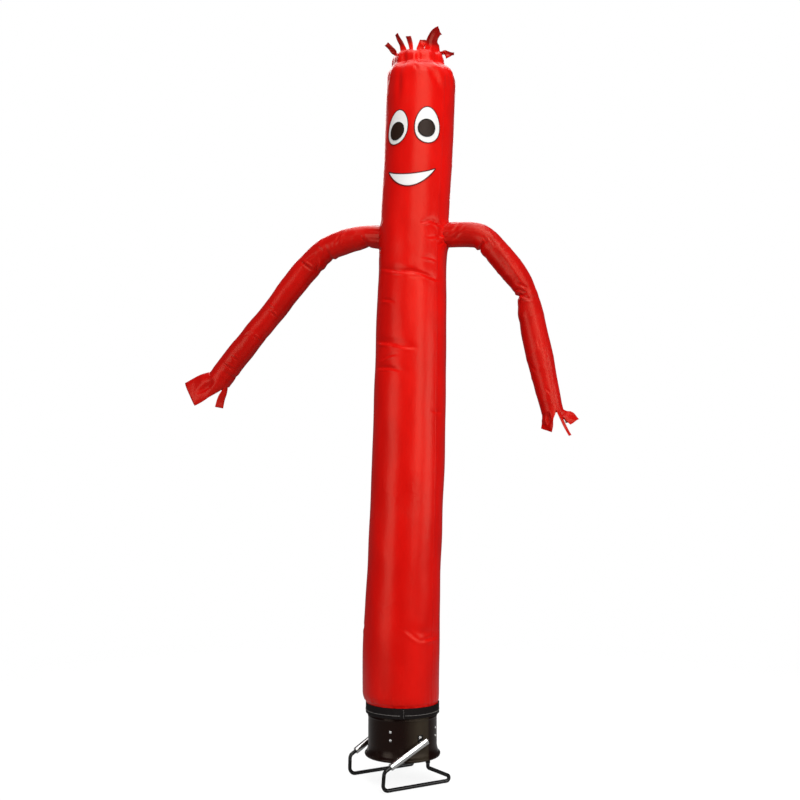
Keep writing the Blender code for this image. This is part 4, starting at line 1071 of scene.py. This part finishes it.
def arm_surface(rows, kinks, turn, along, out=0.0):
    """Points on an arm's outside; its first row lies on the body's side."""
    turn, along = np.broadcast_arrays(np.asarray(turn, float), np.asarray(along, float))
    centre = arm_centre(rows, along)
    _, square = arm_directions(rows, along)
    radius = arm_values(rows, along)[2] / 2 + out + arm_relief(rows, kinks, turn, along)
    sign = math.copysign(1, rows[-1].side)
    front = np.array([0.0, -1.0, 0.0]) * np.cos(turn)[..., None] * radius[..., None]
    points = centre + front - sign * square * (np.sin(turn) * radius)[..., None]
    on_body = body_table(2, points[..., 2]) + 0.0012
    middle_x, middle_y = body_middle(points[..., 2])
    reach = np.sqrt(np.maximum(on_body**2 - (points[..., 1] - middle_y) ** 2, 1e-6))
    seat = middle_x + sign * (reach - 0.006)
    near = np.clip(1 - along / ROOT_ROWS, 0.0, 1.0)
    points[..., 0] += (seat - points[..., 0]) * near**2 * (3 - 2 * near)
    return points


def make_arm(side, rows, kinks):
    """One arm with its underside seam and the stitches round its root."""
    coarse, distances = arm_reach(rows)
    places = np.interp(np.arange(0, distances[-1], ARM_STEP), distances, coarse)
    places = np.append(places, len(rows) - 1)
    rings = arm_surface(rows, kinks, even_turns(ARM_COLUMNS)[None, :], places[:, None])
    ups = [float(np.interp(p, coarse, distances)) for p in places]
    faces, cut = ring_rows(rings, True, math.tau * ARM_RADIUS, ups)
    arm = add_piece(f"arm_{side}_nylon", rings.reshape(-1, 3), faces, shaded_arm_nylon, 0, cut)
    thicken(arm, CLOTH, -1.0, crisp=len(arm.data.vertices))
    settle(arm, "red_nylon", f"arm_{side}")

    turns = UNDERSIDE + np.array([-0.0045, -0.0038, 0.0, 0.0038, 0.0045]) / ARM_RADIUS
    lifts = np.array([0.0001, 0.0006, 0.0008, 0.0006, 0.0001])
    ribbon = arm_surface(rows, kinks, turns[None, :], places[4:-1, None], lifts[None, :])
    faces, cut = ring_rows(ribbon, False, 0.011, ups[4:-1])
    seam = add_piece(f"arm_{side}_seam", ribbon.reshape(-1, 3), faces, shaded_arm_nylon, 0, cut)
    settle(seam, "red_nylon")

    path = arm_surface(rows, kinks, np.linspace(0, math.tau, 90), ROOT_STITCHES, 0.0004)
    middle = arm_centre(rows, np.array([ROOT_STITCHES]))[0]
    ways = [Vector(p - middle).normalized() for p in path]
    root = make_stitches(f"arm_{side}_root_stitches", path, ways, red_thread, "red_nylon")


make_arm("right", ARM_RIGHT, KINKS_RIGHT)
make_arm("left", ARM_LEFT, KINKS_LEFT)


# ------------------------------------------------------------------------ hands
# The end of each arm is slit into finger strips, which hang and blow outward. They
# are cut from the arm's own cloth, past a narrow cuff, and their edges are raw.

# The cuff's depth, its play past the arm's end and its rows' spacing in the cut cloth
CUFF, PLAY, CUT_STEP = 0.030, 0.0002, 0.008
STRIP_CLOTH, STRIP_STEPS = 0.0007, 18
# A strip's place round the ring in columns of it, its length in metres, the width of its
# tip as a share of the root's, and the degrees by which it leaves the ring and bends
Strip = namedtuple("Strip", "first columns length tip flare lean curl swing twist")
FINGERS_RIGHT = [Strip(*row) for row in (
    (15, 5, 0.080, 0.90, 6, -6, 0, -22, 8), (5, 3, 0.066, 0.80, 4, 8, 6, 5, -8),
    (9, 2, 0.062, 0.80, 26, 0, -6, 6, 12), (11, 3, 0.080, 1.05, 28, 0, 10, 0, 45),
    (14, 1, 0.128, 0.75, 6, 3, 4, 10, 0),
)]
FINGERS_LEFT = [Strip(*row) for row in (
    (12, 7, 0.150, 1.12, 6, -18, 4, -6, -10), (3, 1, 0.110, 1.80, 10, 0, 4, 14, 34),
    (6, 3, 0.066, 0.85, 4, 44, 4, -6, -12), (9, 2, 0.100, 0.85, 12, 12, 4, 6, 8),
)]


def strip_rows(root, direction, normal, strip, ripple):
    """Rows of a strip, each its root row turned, scaled and moved along."""
    middle = sum(root, Vector()) / len(root)
    offsets = [p - middle for p in root]
    aside = direction.cross(normal).normalized()
    turning = Matrix.Rotation(math.radians(strip.lean), 3, normal)
    turning = Matrix.Rotation(math.radians(strip.flare), 3, aside) @ turning
    heading = turning @ direction
    half = max(o.length for o in offsets)
    twisted_steps = STRIP_STEPS / 3
    rows = []
    for step in range(1, STRIP_STEPS + 1):
        curl = Matrix.Rotation(math.radians(strip.curl / STRIP_STEPS), 3, turning @ aside)
        swing = Matrix.Rotation(math.radians(strip.swing / STRIP_STEPS), 3, turning @ normal)
        twisted = strip.twist / twisted_steps if step <= twisted_steps else 0
        twist = Matrix.Rotation(math.radians(twisted), 3, heading)
        turning = twist @ swing @ curl @ turning
        heading = (swing @ curl @ heading).normalized()
        middle = middle + heading * strip.length / STRIP_STEPS
        share = step / STRIP_STEPS
        scale = 1 + (strip.tip - 1) * math.sin(share * math.pi / 2) ** 0.7
        flat = 1 - 0.75 * min(1.0, 2 * share)
        row = []
        for offset in offsets:
            bow = offset.dot(normal) * normal
            point = turning @ ((offset - bow) + bow * flat) * scale
            across = (turning @ aside).dot(point) / max(half, 0.001)
            wave = 0.0022 * math.sin(7.5 * share + ripple)
            wave += 0.0018 * math.sin(4 * across + 9 * share + 2 * ripple)
            wave *= min(1.0, 2.5 * share) * min(1.0, half / 0.012)
            if half > 0.03:
                groove = math.exp(-(((across + 0.25) / 0.20) ** 2))
                wave -= 0.012 * groove * math.sin(math.pi * min(1.0, 1.3 * share))
            point += (turning @ normal) * wave
            row.append(middle + point)
        rows.append(row)
    return rows


def make_stripped_ring(name, rings, cad_count, strips, material, node):
    """A hollow ring of cloth with strips cut from its last edge."""
    count = len(rings[0])
    finer = count // cad_count
    vertices = [p for ring in rings for p in ring]
    around = sum((rings[-1][i] - rings[-1][i - 1]).length for i in range(count))
    faces, cut = ring_rows(rings, True, around, [CUT_STEP * row for row in range(len(rings))])
    edge = (len(rings) - 1) * count
    middle = sum(rings[-1], Vector()) / count
    for number, strip in enumerate(strips):
        columns = [(strip.first * finer + i) % count for i in range(strip.columns * finer + 1)]
        root = [rings[-1][c] for c in columns]
        before = [rings[-2][c] for c in columns]
        direction = (sum(root, Vector()) - sum(before, Vector())).normalized()
        normal = sum(root, Vector()) / len(root) - middle
        normal = (normal - normal.dot(direction) * direction).normalized()
        below = [edge + c for c in columns]
        step = strip.length / STRIP_STEPS
        up = CUT_STEP * len(rings)
        for row in strip_rows(root, direction, normal, strip, 1.7 * number + count):
            above = list(range(len(vertices), len(vertices) + len(row)))
            vertices += row
            for i in range(len(row) - 1):
                faces.append((below[i], below[i + 1], above[i + 1], above[i]))
                left, right = (around * (columns[0] + i + side) / count for side in (0, 1))
                cut.append(((left, up), (right, up), (right, up + step), (left, up + step)))
            up += step
            below = above
    piece = thicken(add_piece(name, vertices, faces, material, 0, cut), STRIP_CLOTH, crisp=count)
    settle(piece, "red_strips", node)
    deep = sum((b[0] - a[0]).length for a, b in zip(rings, rings[1:]))
    mean_sine = 0.637
    shares = [s.columns / cad_count * s.length * (1 + (s.tip - 1) * mean_sine) for s in strips]
    around * (deep + sum(shares))


def make_hand(side, rows, kinks, strips):
    """The slit end of an arm: its uncut cuff and its fingers."""
    last = float(len(rows) - 1)
    heading = Vector(arm_directions(rows, np.array([last]))[0][0])
    end = [Vector(p) for p in arm_surface(rows, kinks, even_turns(ARM_COLUMNS), last, -0.0004)]
    moves = [PLAY] + [CUFF * i / 5 for i in range(1, 6)]
    rings = [[p + heading * move for p in end] for move in moves]
    make_stripped_ring(f"fingers_{side}", rings, 16, strips, shaded_arm_nylon, f"hand_{side}")


make_hand("right", ARM_RIGHT, KINKS_RIGHT, FINGERS_RIGHT)
make_hand("left", ARM_LEFT, KINKS_LEFT, FINGERS_LEFT)


# ------------------------------------------------------------- ruffle and hair
# Above the neck the tube's cloth is gathered to a ruffle, tied by a hidden cord, and
# its edge is slit into tapered hair strips that stand up and flop to the sides.

HAIR_COLUMNS, RUFFLE_ROWS = 40, 14
HAIR = [Strip(*row) for row in (
    (3, 6, 0.127, 0.42, 40, 26, -6, -84, 0), (1, 2, 0.044, 0.95, 44, -21, 0, 0, 0),
    (9, 5, 0.094, 0.15, 100, -34, 0, 0, 120), (16, 2, 0.060, 0.75, 46, 0, 14, -6, -15),
    (20, 2, 0.056, 0.80, 38, 0, 18, 10, 12), (24, 2, 0.058, 0.70, 44, 0, 12, -10, 18),
    (31, 2, 0.068, 0.65, 74, 0, 4, 0, 55), (36, 2, 0.094, 0.55, 38, 17, 4, 6, 6),
    (39, 1, 0.068, 1.40, 34, 2, 4, 18, 0),
)]
RUFFLE = [Station(*row) for row in (
    (3.3145, 0.0815, 0.1336), (3.3175, 0.0808, 0.1302), (3.322, 0.080, 0.1276), (3.328, 0.080, 0.1262),
    (3.336, 0.079, 0.1256), (3.346, 0.079, 0.1252), (3.358, 0.079, 0.1232), (3.371, 0.079, 0.1180),
    (3.383, 0.079, 0.1100),
)]
RUFFLE_FOOT = ((3.2970, -0.0014), (3.3030, 0.0001), (3.3090, 0.0006))
# The strips are the tube's own nylon; above the ruffle they are given a darker red, which is painted
# shade.
SHADED_HAIR_RED, SHADED_HAIR_DEEP = (0.38, 0.0035, 0.003, 1.0), (0.20, 0.002, 0.002, 1.0)
shaded_red_hair = red_nylon_finish("shaded_red_hair", SHADED_HAIR_RED, SHADED_HAIR_DEEP, grid=0.0050, below=3.385)


def ruffle_wave(turn, share):
    """How far the gathered ring stands in or out at a turn, share 1 being its top."""
    puff = math.sin(math.pi * min(1.0, 1.25 * share))
    wave = (1 - 0.5 * share) * float(gathers(turn))
    wave += puff * (0.0016 * math.cos(10 * turn + 0.5 * math.sin(2 * turn) + 0.8 * share)
                    + 0.0014 * math.sin(17 * turn + 1.6 * math.sin(3 * turn) - share))
    from_dent = (turn - 0.25 + math.pi) % math.tau - math.pi
    return wave - 0.0030 * math.exp(-(from_dent / 0.45) ** 2) * puff


def make_hair():
    """The gathered ring and its strips."""
    turns = even_turns(HAIR_COLUMNS * 4)
    rings = [[Vector(p) for p in body_surface(turns, height, out)] for height, out in RUFFLE_FOOT]
    levels = [s.height for s in RUFFLE]
    for height in np.linspace(levels[0], levels[-1], RUFFLE_ROWS):
        share = (height - levels[0]) / (levels[-1] - levels[0])
        radius = float(smooth_curve(levels, [s.radius for s in RUFFLE], height))
        lean = float(smooth_curve(levels, [s.lean for s in RUFFLE], height))
        ring = []
        for turn in turns:
            radial = outward(turn) * (radius + ruffle_wave(turn, share))
            drop = NOD * radial.dot(outward(NOD_TURN))
            drop += share**2 * (0.0040 * math.sin(7 * turn + 1.0) + 0.0025 * math.sin(13 * turn))
            ring.append(outward(LEAN_TURN) * lean + radial + Vector((0, 0, height - drop + 0.0005)))
        rings.append(ring)
    make_stripped_ring("hair_ruffle", rings, HAIR_COLUMNS, HAIR, shaded_red_hair, "hair")


make_hair()


# ------------------------------------------------------------------------- face
# Eyes and a smile are cut from white nylon and sewn flat on the tube, each with a
# narrow dark red border over its edge. The pupils are dark cloth rimmed in black.

Egg = namedtuple("Egg", "name arc height half_width half_height narrowing tilt")
EYE_WHITES = [
    Egg("eye_white_left", -0.070, 2.956, 0.059, 0.083, 0.13, 8),
    Egg("eye_white_right", 0.081, 2.954, 0.061, 0.087, 0.13, -2),
]
PUPILS = [
    Egg("pupil_left", -0.070, 2.937, 0.038, 0.041, 0.0, 8),
    Egg("pupil_right", 0.077, 2.938, 0.039, 0.041, 0.0, 0),
]
PATCH_CLOTH = 0.0005
# How far out from the tube each layer is sewn, and the widths of the narrow ones
WHITE_OUT, BORDER_OUT, PUPIL_OUT, RIM_OUT = 0.0010, 0.0017, 0.0026, 0.0032
BORDER_WIDTH, RIM_WIDTH = 0.0042, 0.0045
MOUTH_MIDDLE, MOUTH_HALF = 0.0085, 0.125
MOUTH_CORNERS, MOUTH_UPPER_SAG, MOUTH_LOWER_SAG = 2.751, 0.032, 0.091
MOUTH_COLUMNS, MOUTH_ROWS, MOUTH_EDGE_STEPS = 65, 9, 181


def patch_finish(name, colour, dark, rough):
    """Plain woven cloth of one colour, a little soiled."""
    cloth = Finish(name, Specular_IOR_Level=0.20)
    threads = cloth.weave(0.0010)
    place = cloth.place()
    soil = cloth.cloud(place, 12.0, 4.0, 0.6).step(0.45, 0.85)
    cloth.set(Base_Color=cloth.mix(soil * 0.5, colour, dark))
    cloth.set(Roughness=rough + soil * 0.1)
    cloth.relief(threads * 0.00003 + cloth.cloud(place, 40.0, 3.0) * 0.0005)
    return cloth.material


white_cloth = patch_finish("white_patch", (0.86, 0.86, 0.85, 1.0), (0.72, 0.70, 0.68, 1.0), 0.42)
dark_cloth = patch_finish("dark_patch", (0.020, 0.0085, 0.0045, 1.0), (0.032, 0.014, 0.008, 1.0), 0.40)
border_cloth = patch_finish("dark_red_border", (0.10, 0.003, 0.004, 1.0), (0.07, 0.003, 0.003, 1.0), 0.5)
rim_cloth = patch_finish("black_rim", (0.004, 0.004, 0.004, 1.0), (0.006, 0.006, 0.006, 1.0), 0.45)


def egg_spot(egg, share, angle):
    """Arc and height of a spot in an egg, share 1 being its edge."""
    tilt = math.radians(egg.tilt)
    narrow = 1 - egg.narrowing * np.sin(angle)
    across = egg.half_width * share * np.cos(angle) * narrow
    up = egg.half_height * share * np.sin(angle)
    arc = egg.arc + across * math.cos(tilt) + up * math.sin(tilt)
    return arc, egg.height + up * math.cos(tilt) - across * math.sin(tilt)


def make_patch(name, spots, out, material, slot, node=None, closed=True, filled=True):
    """A thin sewn patch over a grid of arcs and heights on the tube."""
    arcs, heights = spots
    grid = body_surface(np.asarray(arcs) / TUBE_RADIUS, heights, out)
    rows, count = grid.shape[:2]
    faces = grid_faces(rows, count, round_columns=closed)
    if closed and filled:
        faces.append(tuple(range(count - 1, -1, -1)))
    cut = [tuple((arcs.flat[k], heights.flat[k]) for k in face) for face in faces]
    patch = add_piece(name, grid.reshape(-1, 3), faces, material, 0, cut)
    thicken(patch, PATCH_CLOTH, 1.0)
    if patch.data.polygons[len(patch.data.polygons) // 2].normal.y > 0:
        patch.data.flip_normals()
    return settle(patch, slot, *([node] if node else []))


def egg_grid(egg, rows, columns):
    """Arcs and heights of rings from an egg's middle to its edge."""
    spots = [egg_spot(egg, share, even_turns(columns)) for share in np.linspace(0.04, 1.0, rows)]
    return np.array([s[0] for s in spots]), np.array([s[1] for s in spots])


def edge_strip(arc, height, moves):
    """Arcs and heights of a strip along a closed edge, moved square to it."""
    along_a, along_h = np.roll(arc, -1) - np.roll(arc, 1), np.roll(height, -1) - np.roll(height, 1)
    length = np.hypot(along_a, along_h)
    way_a, way_h = along_h / length, -along_a / length
    return np.array([arc + way_a * m for m in moves]), np.array([height + way_h * m for m in moves])


def make_eye_piece(egg, grid, outs, cloths, slot, edge, edge_width):
    """An egg-shaped patch and the narrow strip that is sewn over its edge."""
    patch = make_patch(f"{egg.name}_cloth", egg_grid(egg, *grid), outs[0], cloths[0], slot, egg.name)
    rim = egg_spot(egg, 1.0, even_turns(96))
    strip = edge_strip(*rim, np.linspace(-edge_width * 0.4, edge_width * 0.6, 4))
    border = make_patch(f"{egg.name}_{edge}", strip, outs[1], cloths[1], slot, filled=False)
    2 * egg.half_width
    2 * egg.half_height
    math.pi * egg.half_width * egg.half_height
    return patch


whites = [make_eye_piece(egg, (14, 96), (WHITE_OUT, BORDER_OUT), (white_cloth, border_cloth),
                         "white_patch", "border", BORDER_WIDTH) for egg in EYE_WHITES]
for egg, white in zip(PUPILS, whites):
    make_eye_piece(egg, (10, 80), (PUPIL_OUT, RIM_OUT), (dark_cloth, rim_cloth),
                   "dark_patch", "rim", RIM_WIDTH)


def make_mouth():
    """The smile and its border, which follows both of its edges."""
    shares = 0.985 * np.sin(math.pi * (np.linspace(0, 1, MOUTH_COLUMNS) - 0.5))
    belly = 1 - shares**2
    arc = MOUTH_MIDDLE + MOUTH_HALF * shares
    upper = MOUTH_CORNERS - MOUTH_UPPER_SAG * belly
    lower = MOUTH_CORNERS - MOUTH_LOWER_SAG * belly
    levels = np.linspace(0, 1, MOUTH_ROWS)
    arcs = np.array([arc for _ in levels])
    heights = np.array([upper + (lower - upper) * level for level in levels])
    smile = make_patch("mouth_cloth", (arcs, heights), WHITE_OUT, white_cloth, "white_patch", "mouth",
                       closed=False)
    loop_a = np.concatenate([arc, arc[::-1][1:-1], arc[:1]])
    loop_h = np.concatenate([upper, lower[::-1][1:-1], upper[:1]])
    steps = path_lengths(np.stack([loop_a, loop_h], axis=1))
    even = np.linspace(0, steps[-1], MOUTH_EDGE_STEPS)[:-1]
    arc, height = np.interp(even, steps, loop_a), np.interp(even, steps, loop_h)
    for _ in range(2):
        arc = (np.roll(arc, 1) + 2 * arc + np.roll(arc, -1)) / 4
        height = (np.roll(height, 1) + 2 * height + np.roll(height, -1)) / 4
    strip = edge_strip(arc, height, np.linspace(0.0022, -0.0030, 4))
    border = make_patch("mouth_border", strip, BORDER_OUT, border_cloth, "white_patch", filled=False)


make_mouth()


# ------------------------------------------------------------------------ stage
# A pale floor that fades out, and soft light: a warm wide light high in front, a tall
# one that puts a long sheen on the cloth, one at each side, and others above and behind.


def add_light(name, place, aim, size, power, colour=(1.0, 1.0, 1.0)):
    """A soft light of a width and height, turned from its place to its aim."""
    light = bpy.data.lights.new(name, "AREA")
    light.shape = "RECTANGLE"
    light.size, light.size_y = size
    light.energy = power
    light.color = colour
    item = put(bpy.data.objects.new(name, light))
    item.location = place
    item.rotation_euler = (Vector(aim) - Vector(place)).to_track_quat("-Z", "Y").to_euler()
    return item


FLOOR_REACH = 5.0
work = bmesh.new()
bmesh.ops.create_circle(work, cap_ends=True, segments=96, radius=FLOOR_REACH)
floor = bpy.data.meshes.new("floor")
work.to_mesh(floor)
work.free()
pale = Finish("pale_floor", Base_Color=(0.86, 0.86, 0.86, 1.0), Roughness=0.7, Specular_IOR_Level=0.1,
              Emission_Color=(1.0, 1.0, 1.0, 1.0), Emission_Strength=0.45)
x, y, _ = pale.axes(pale.place())
pale.set(Alpha=0.22 * (1 - ((x * x + y * y) ** 0.5).step(1.2, FLOOR_REACH - 0.2)))
floor.materials.append(pale.material)
ground = put(bpy.data.objects.new("floor", floor))

VIEW_TURN = math.radians(15)
sight = Vector((math.sin(VIEW_TURN), -math.cos(VIEW_TURN), 0))
beside = Vector((math.cos(VIEW_TURN), math.sin(VIEW_TURN), 0))


def seen(right, near, up):
    """A place given from the camera: metres to the right, toward it and up."""
    return AXIS + beside * right + sight * near + Vector((0, 0, up))


WARM = (1.0, 0.93, 0.86)
lights = [
    add_light("high_light", seen(0.8, 5.0, 4.9), seen(0, 0, 2.3), (4.6, 2.3), 112, WARM),
    add_light("tall_light", seen(2.3, 4.4, 2.3), seen(0, 0, 1.7), (2.0, 2.6), 64),
    add_light("front_light", seen(0.6, 3.0, 6.8), seen(0, 0, 1.6), (2.6, 2.6), 112),
    add_light("left_light", seen(-3.4, 3.0, 1.8), seen(0, 0, 1.4), (2.4, 3.2), 64),
    add_light("right_light", seen(4.2, 2.2, 1.9), seen(0, 0, 1.6), (2.2, 2.4), 64),
    add_light("top_light", seen(0.0, -0.6, 6.6), seen(0, 0, 0), (3.5, 3.5), 110),
    add_light("back_light", seen(-0.3, -4.0, 5.2), seen(0, 0, 1.6), (3.5, 3.0), 135),
]
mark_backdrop(ground, *lights)

world = bpy.data.worlds.new("studio")
world.use_nodes = True
backdrop = world.node_tree.nodes["Background"]
backdrop.inputs["Color"].default_value = (1.0, 1.0, 1.0, 1.0)
seen_directly = world.node_tree.nodes.new("ShaderNodeLightPath")
brightness = world.node_tree.nodes.new("ShaderNodeMapRange")
brightness.inputs["To Min"].default_value = 0.08
brightness.inputs["To Max"].default_value = 1.0
world.node_tree.links.new(seen_directly.outputs["Is Camera Ray"], brightness.inputs["Value"])
world.node_tree.links.new(brightness.outputs["Result"], backdrop.inputs["Strength"])
bpy.context.scene.world = world

view = bpy.data.cameras.new("view")
view.lens = 40.97
view.sensor_width = 36.0
eye = put(bpy.data.objects.new("view", view))
eye.location = seen(-0.011, 4.2, 1.156)
eye.rotation_euler = (math.radians(97.18), 0, VIEW_TURN)
bpy.context.scene.camera = eye
bpy.context.scene.view_settings.view_transform = "Standard"
bpy.context.scene.view_settings.look = "None"

sizes = {"cad": [list(map(float, corner)) for corner in cad_box],
         "visual": [list(map(float, corner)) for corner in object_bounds()]}
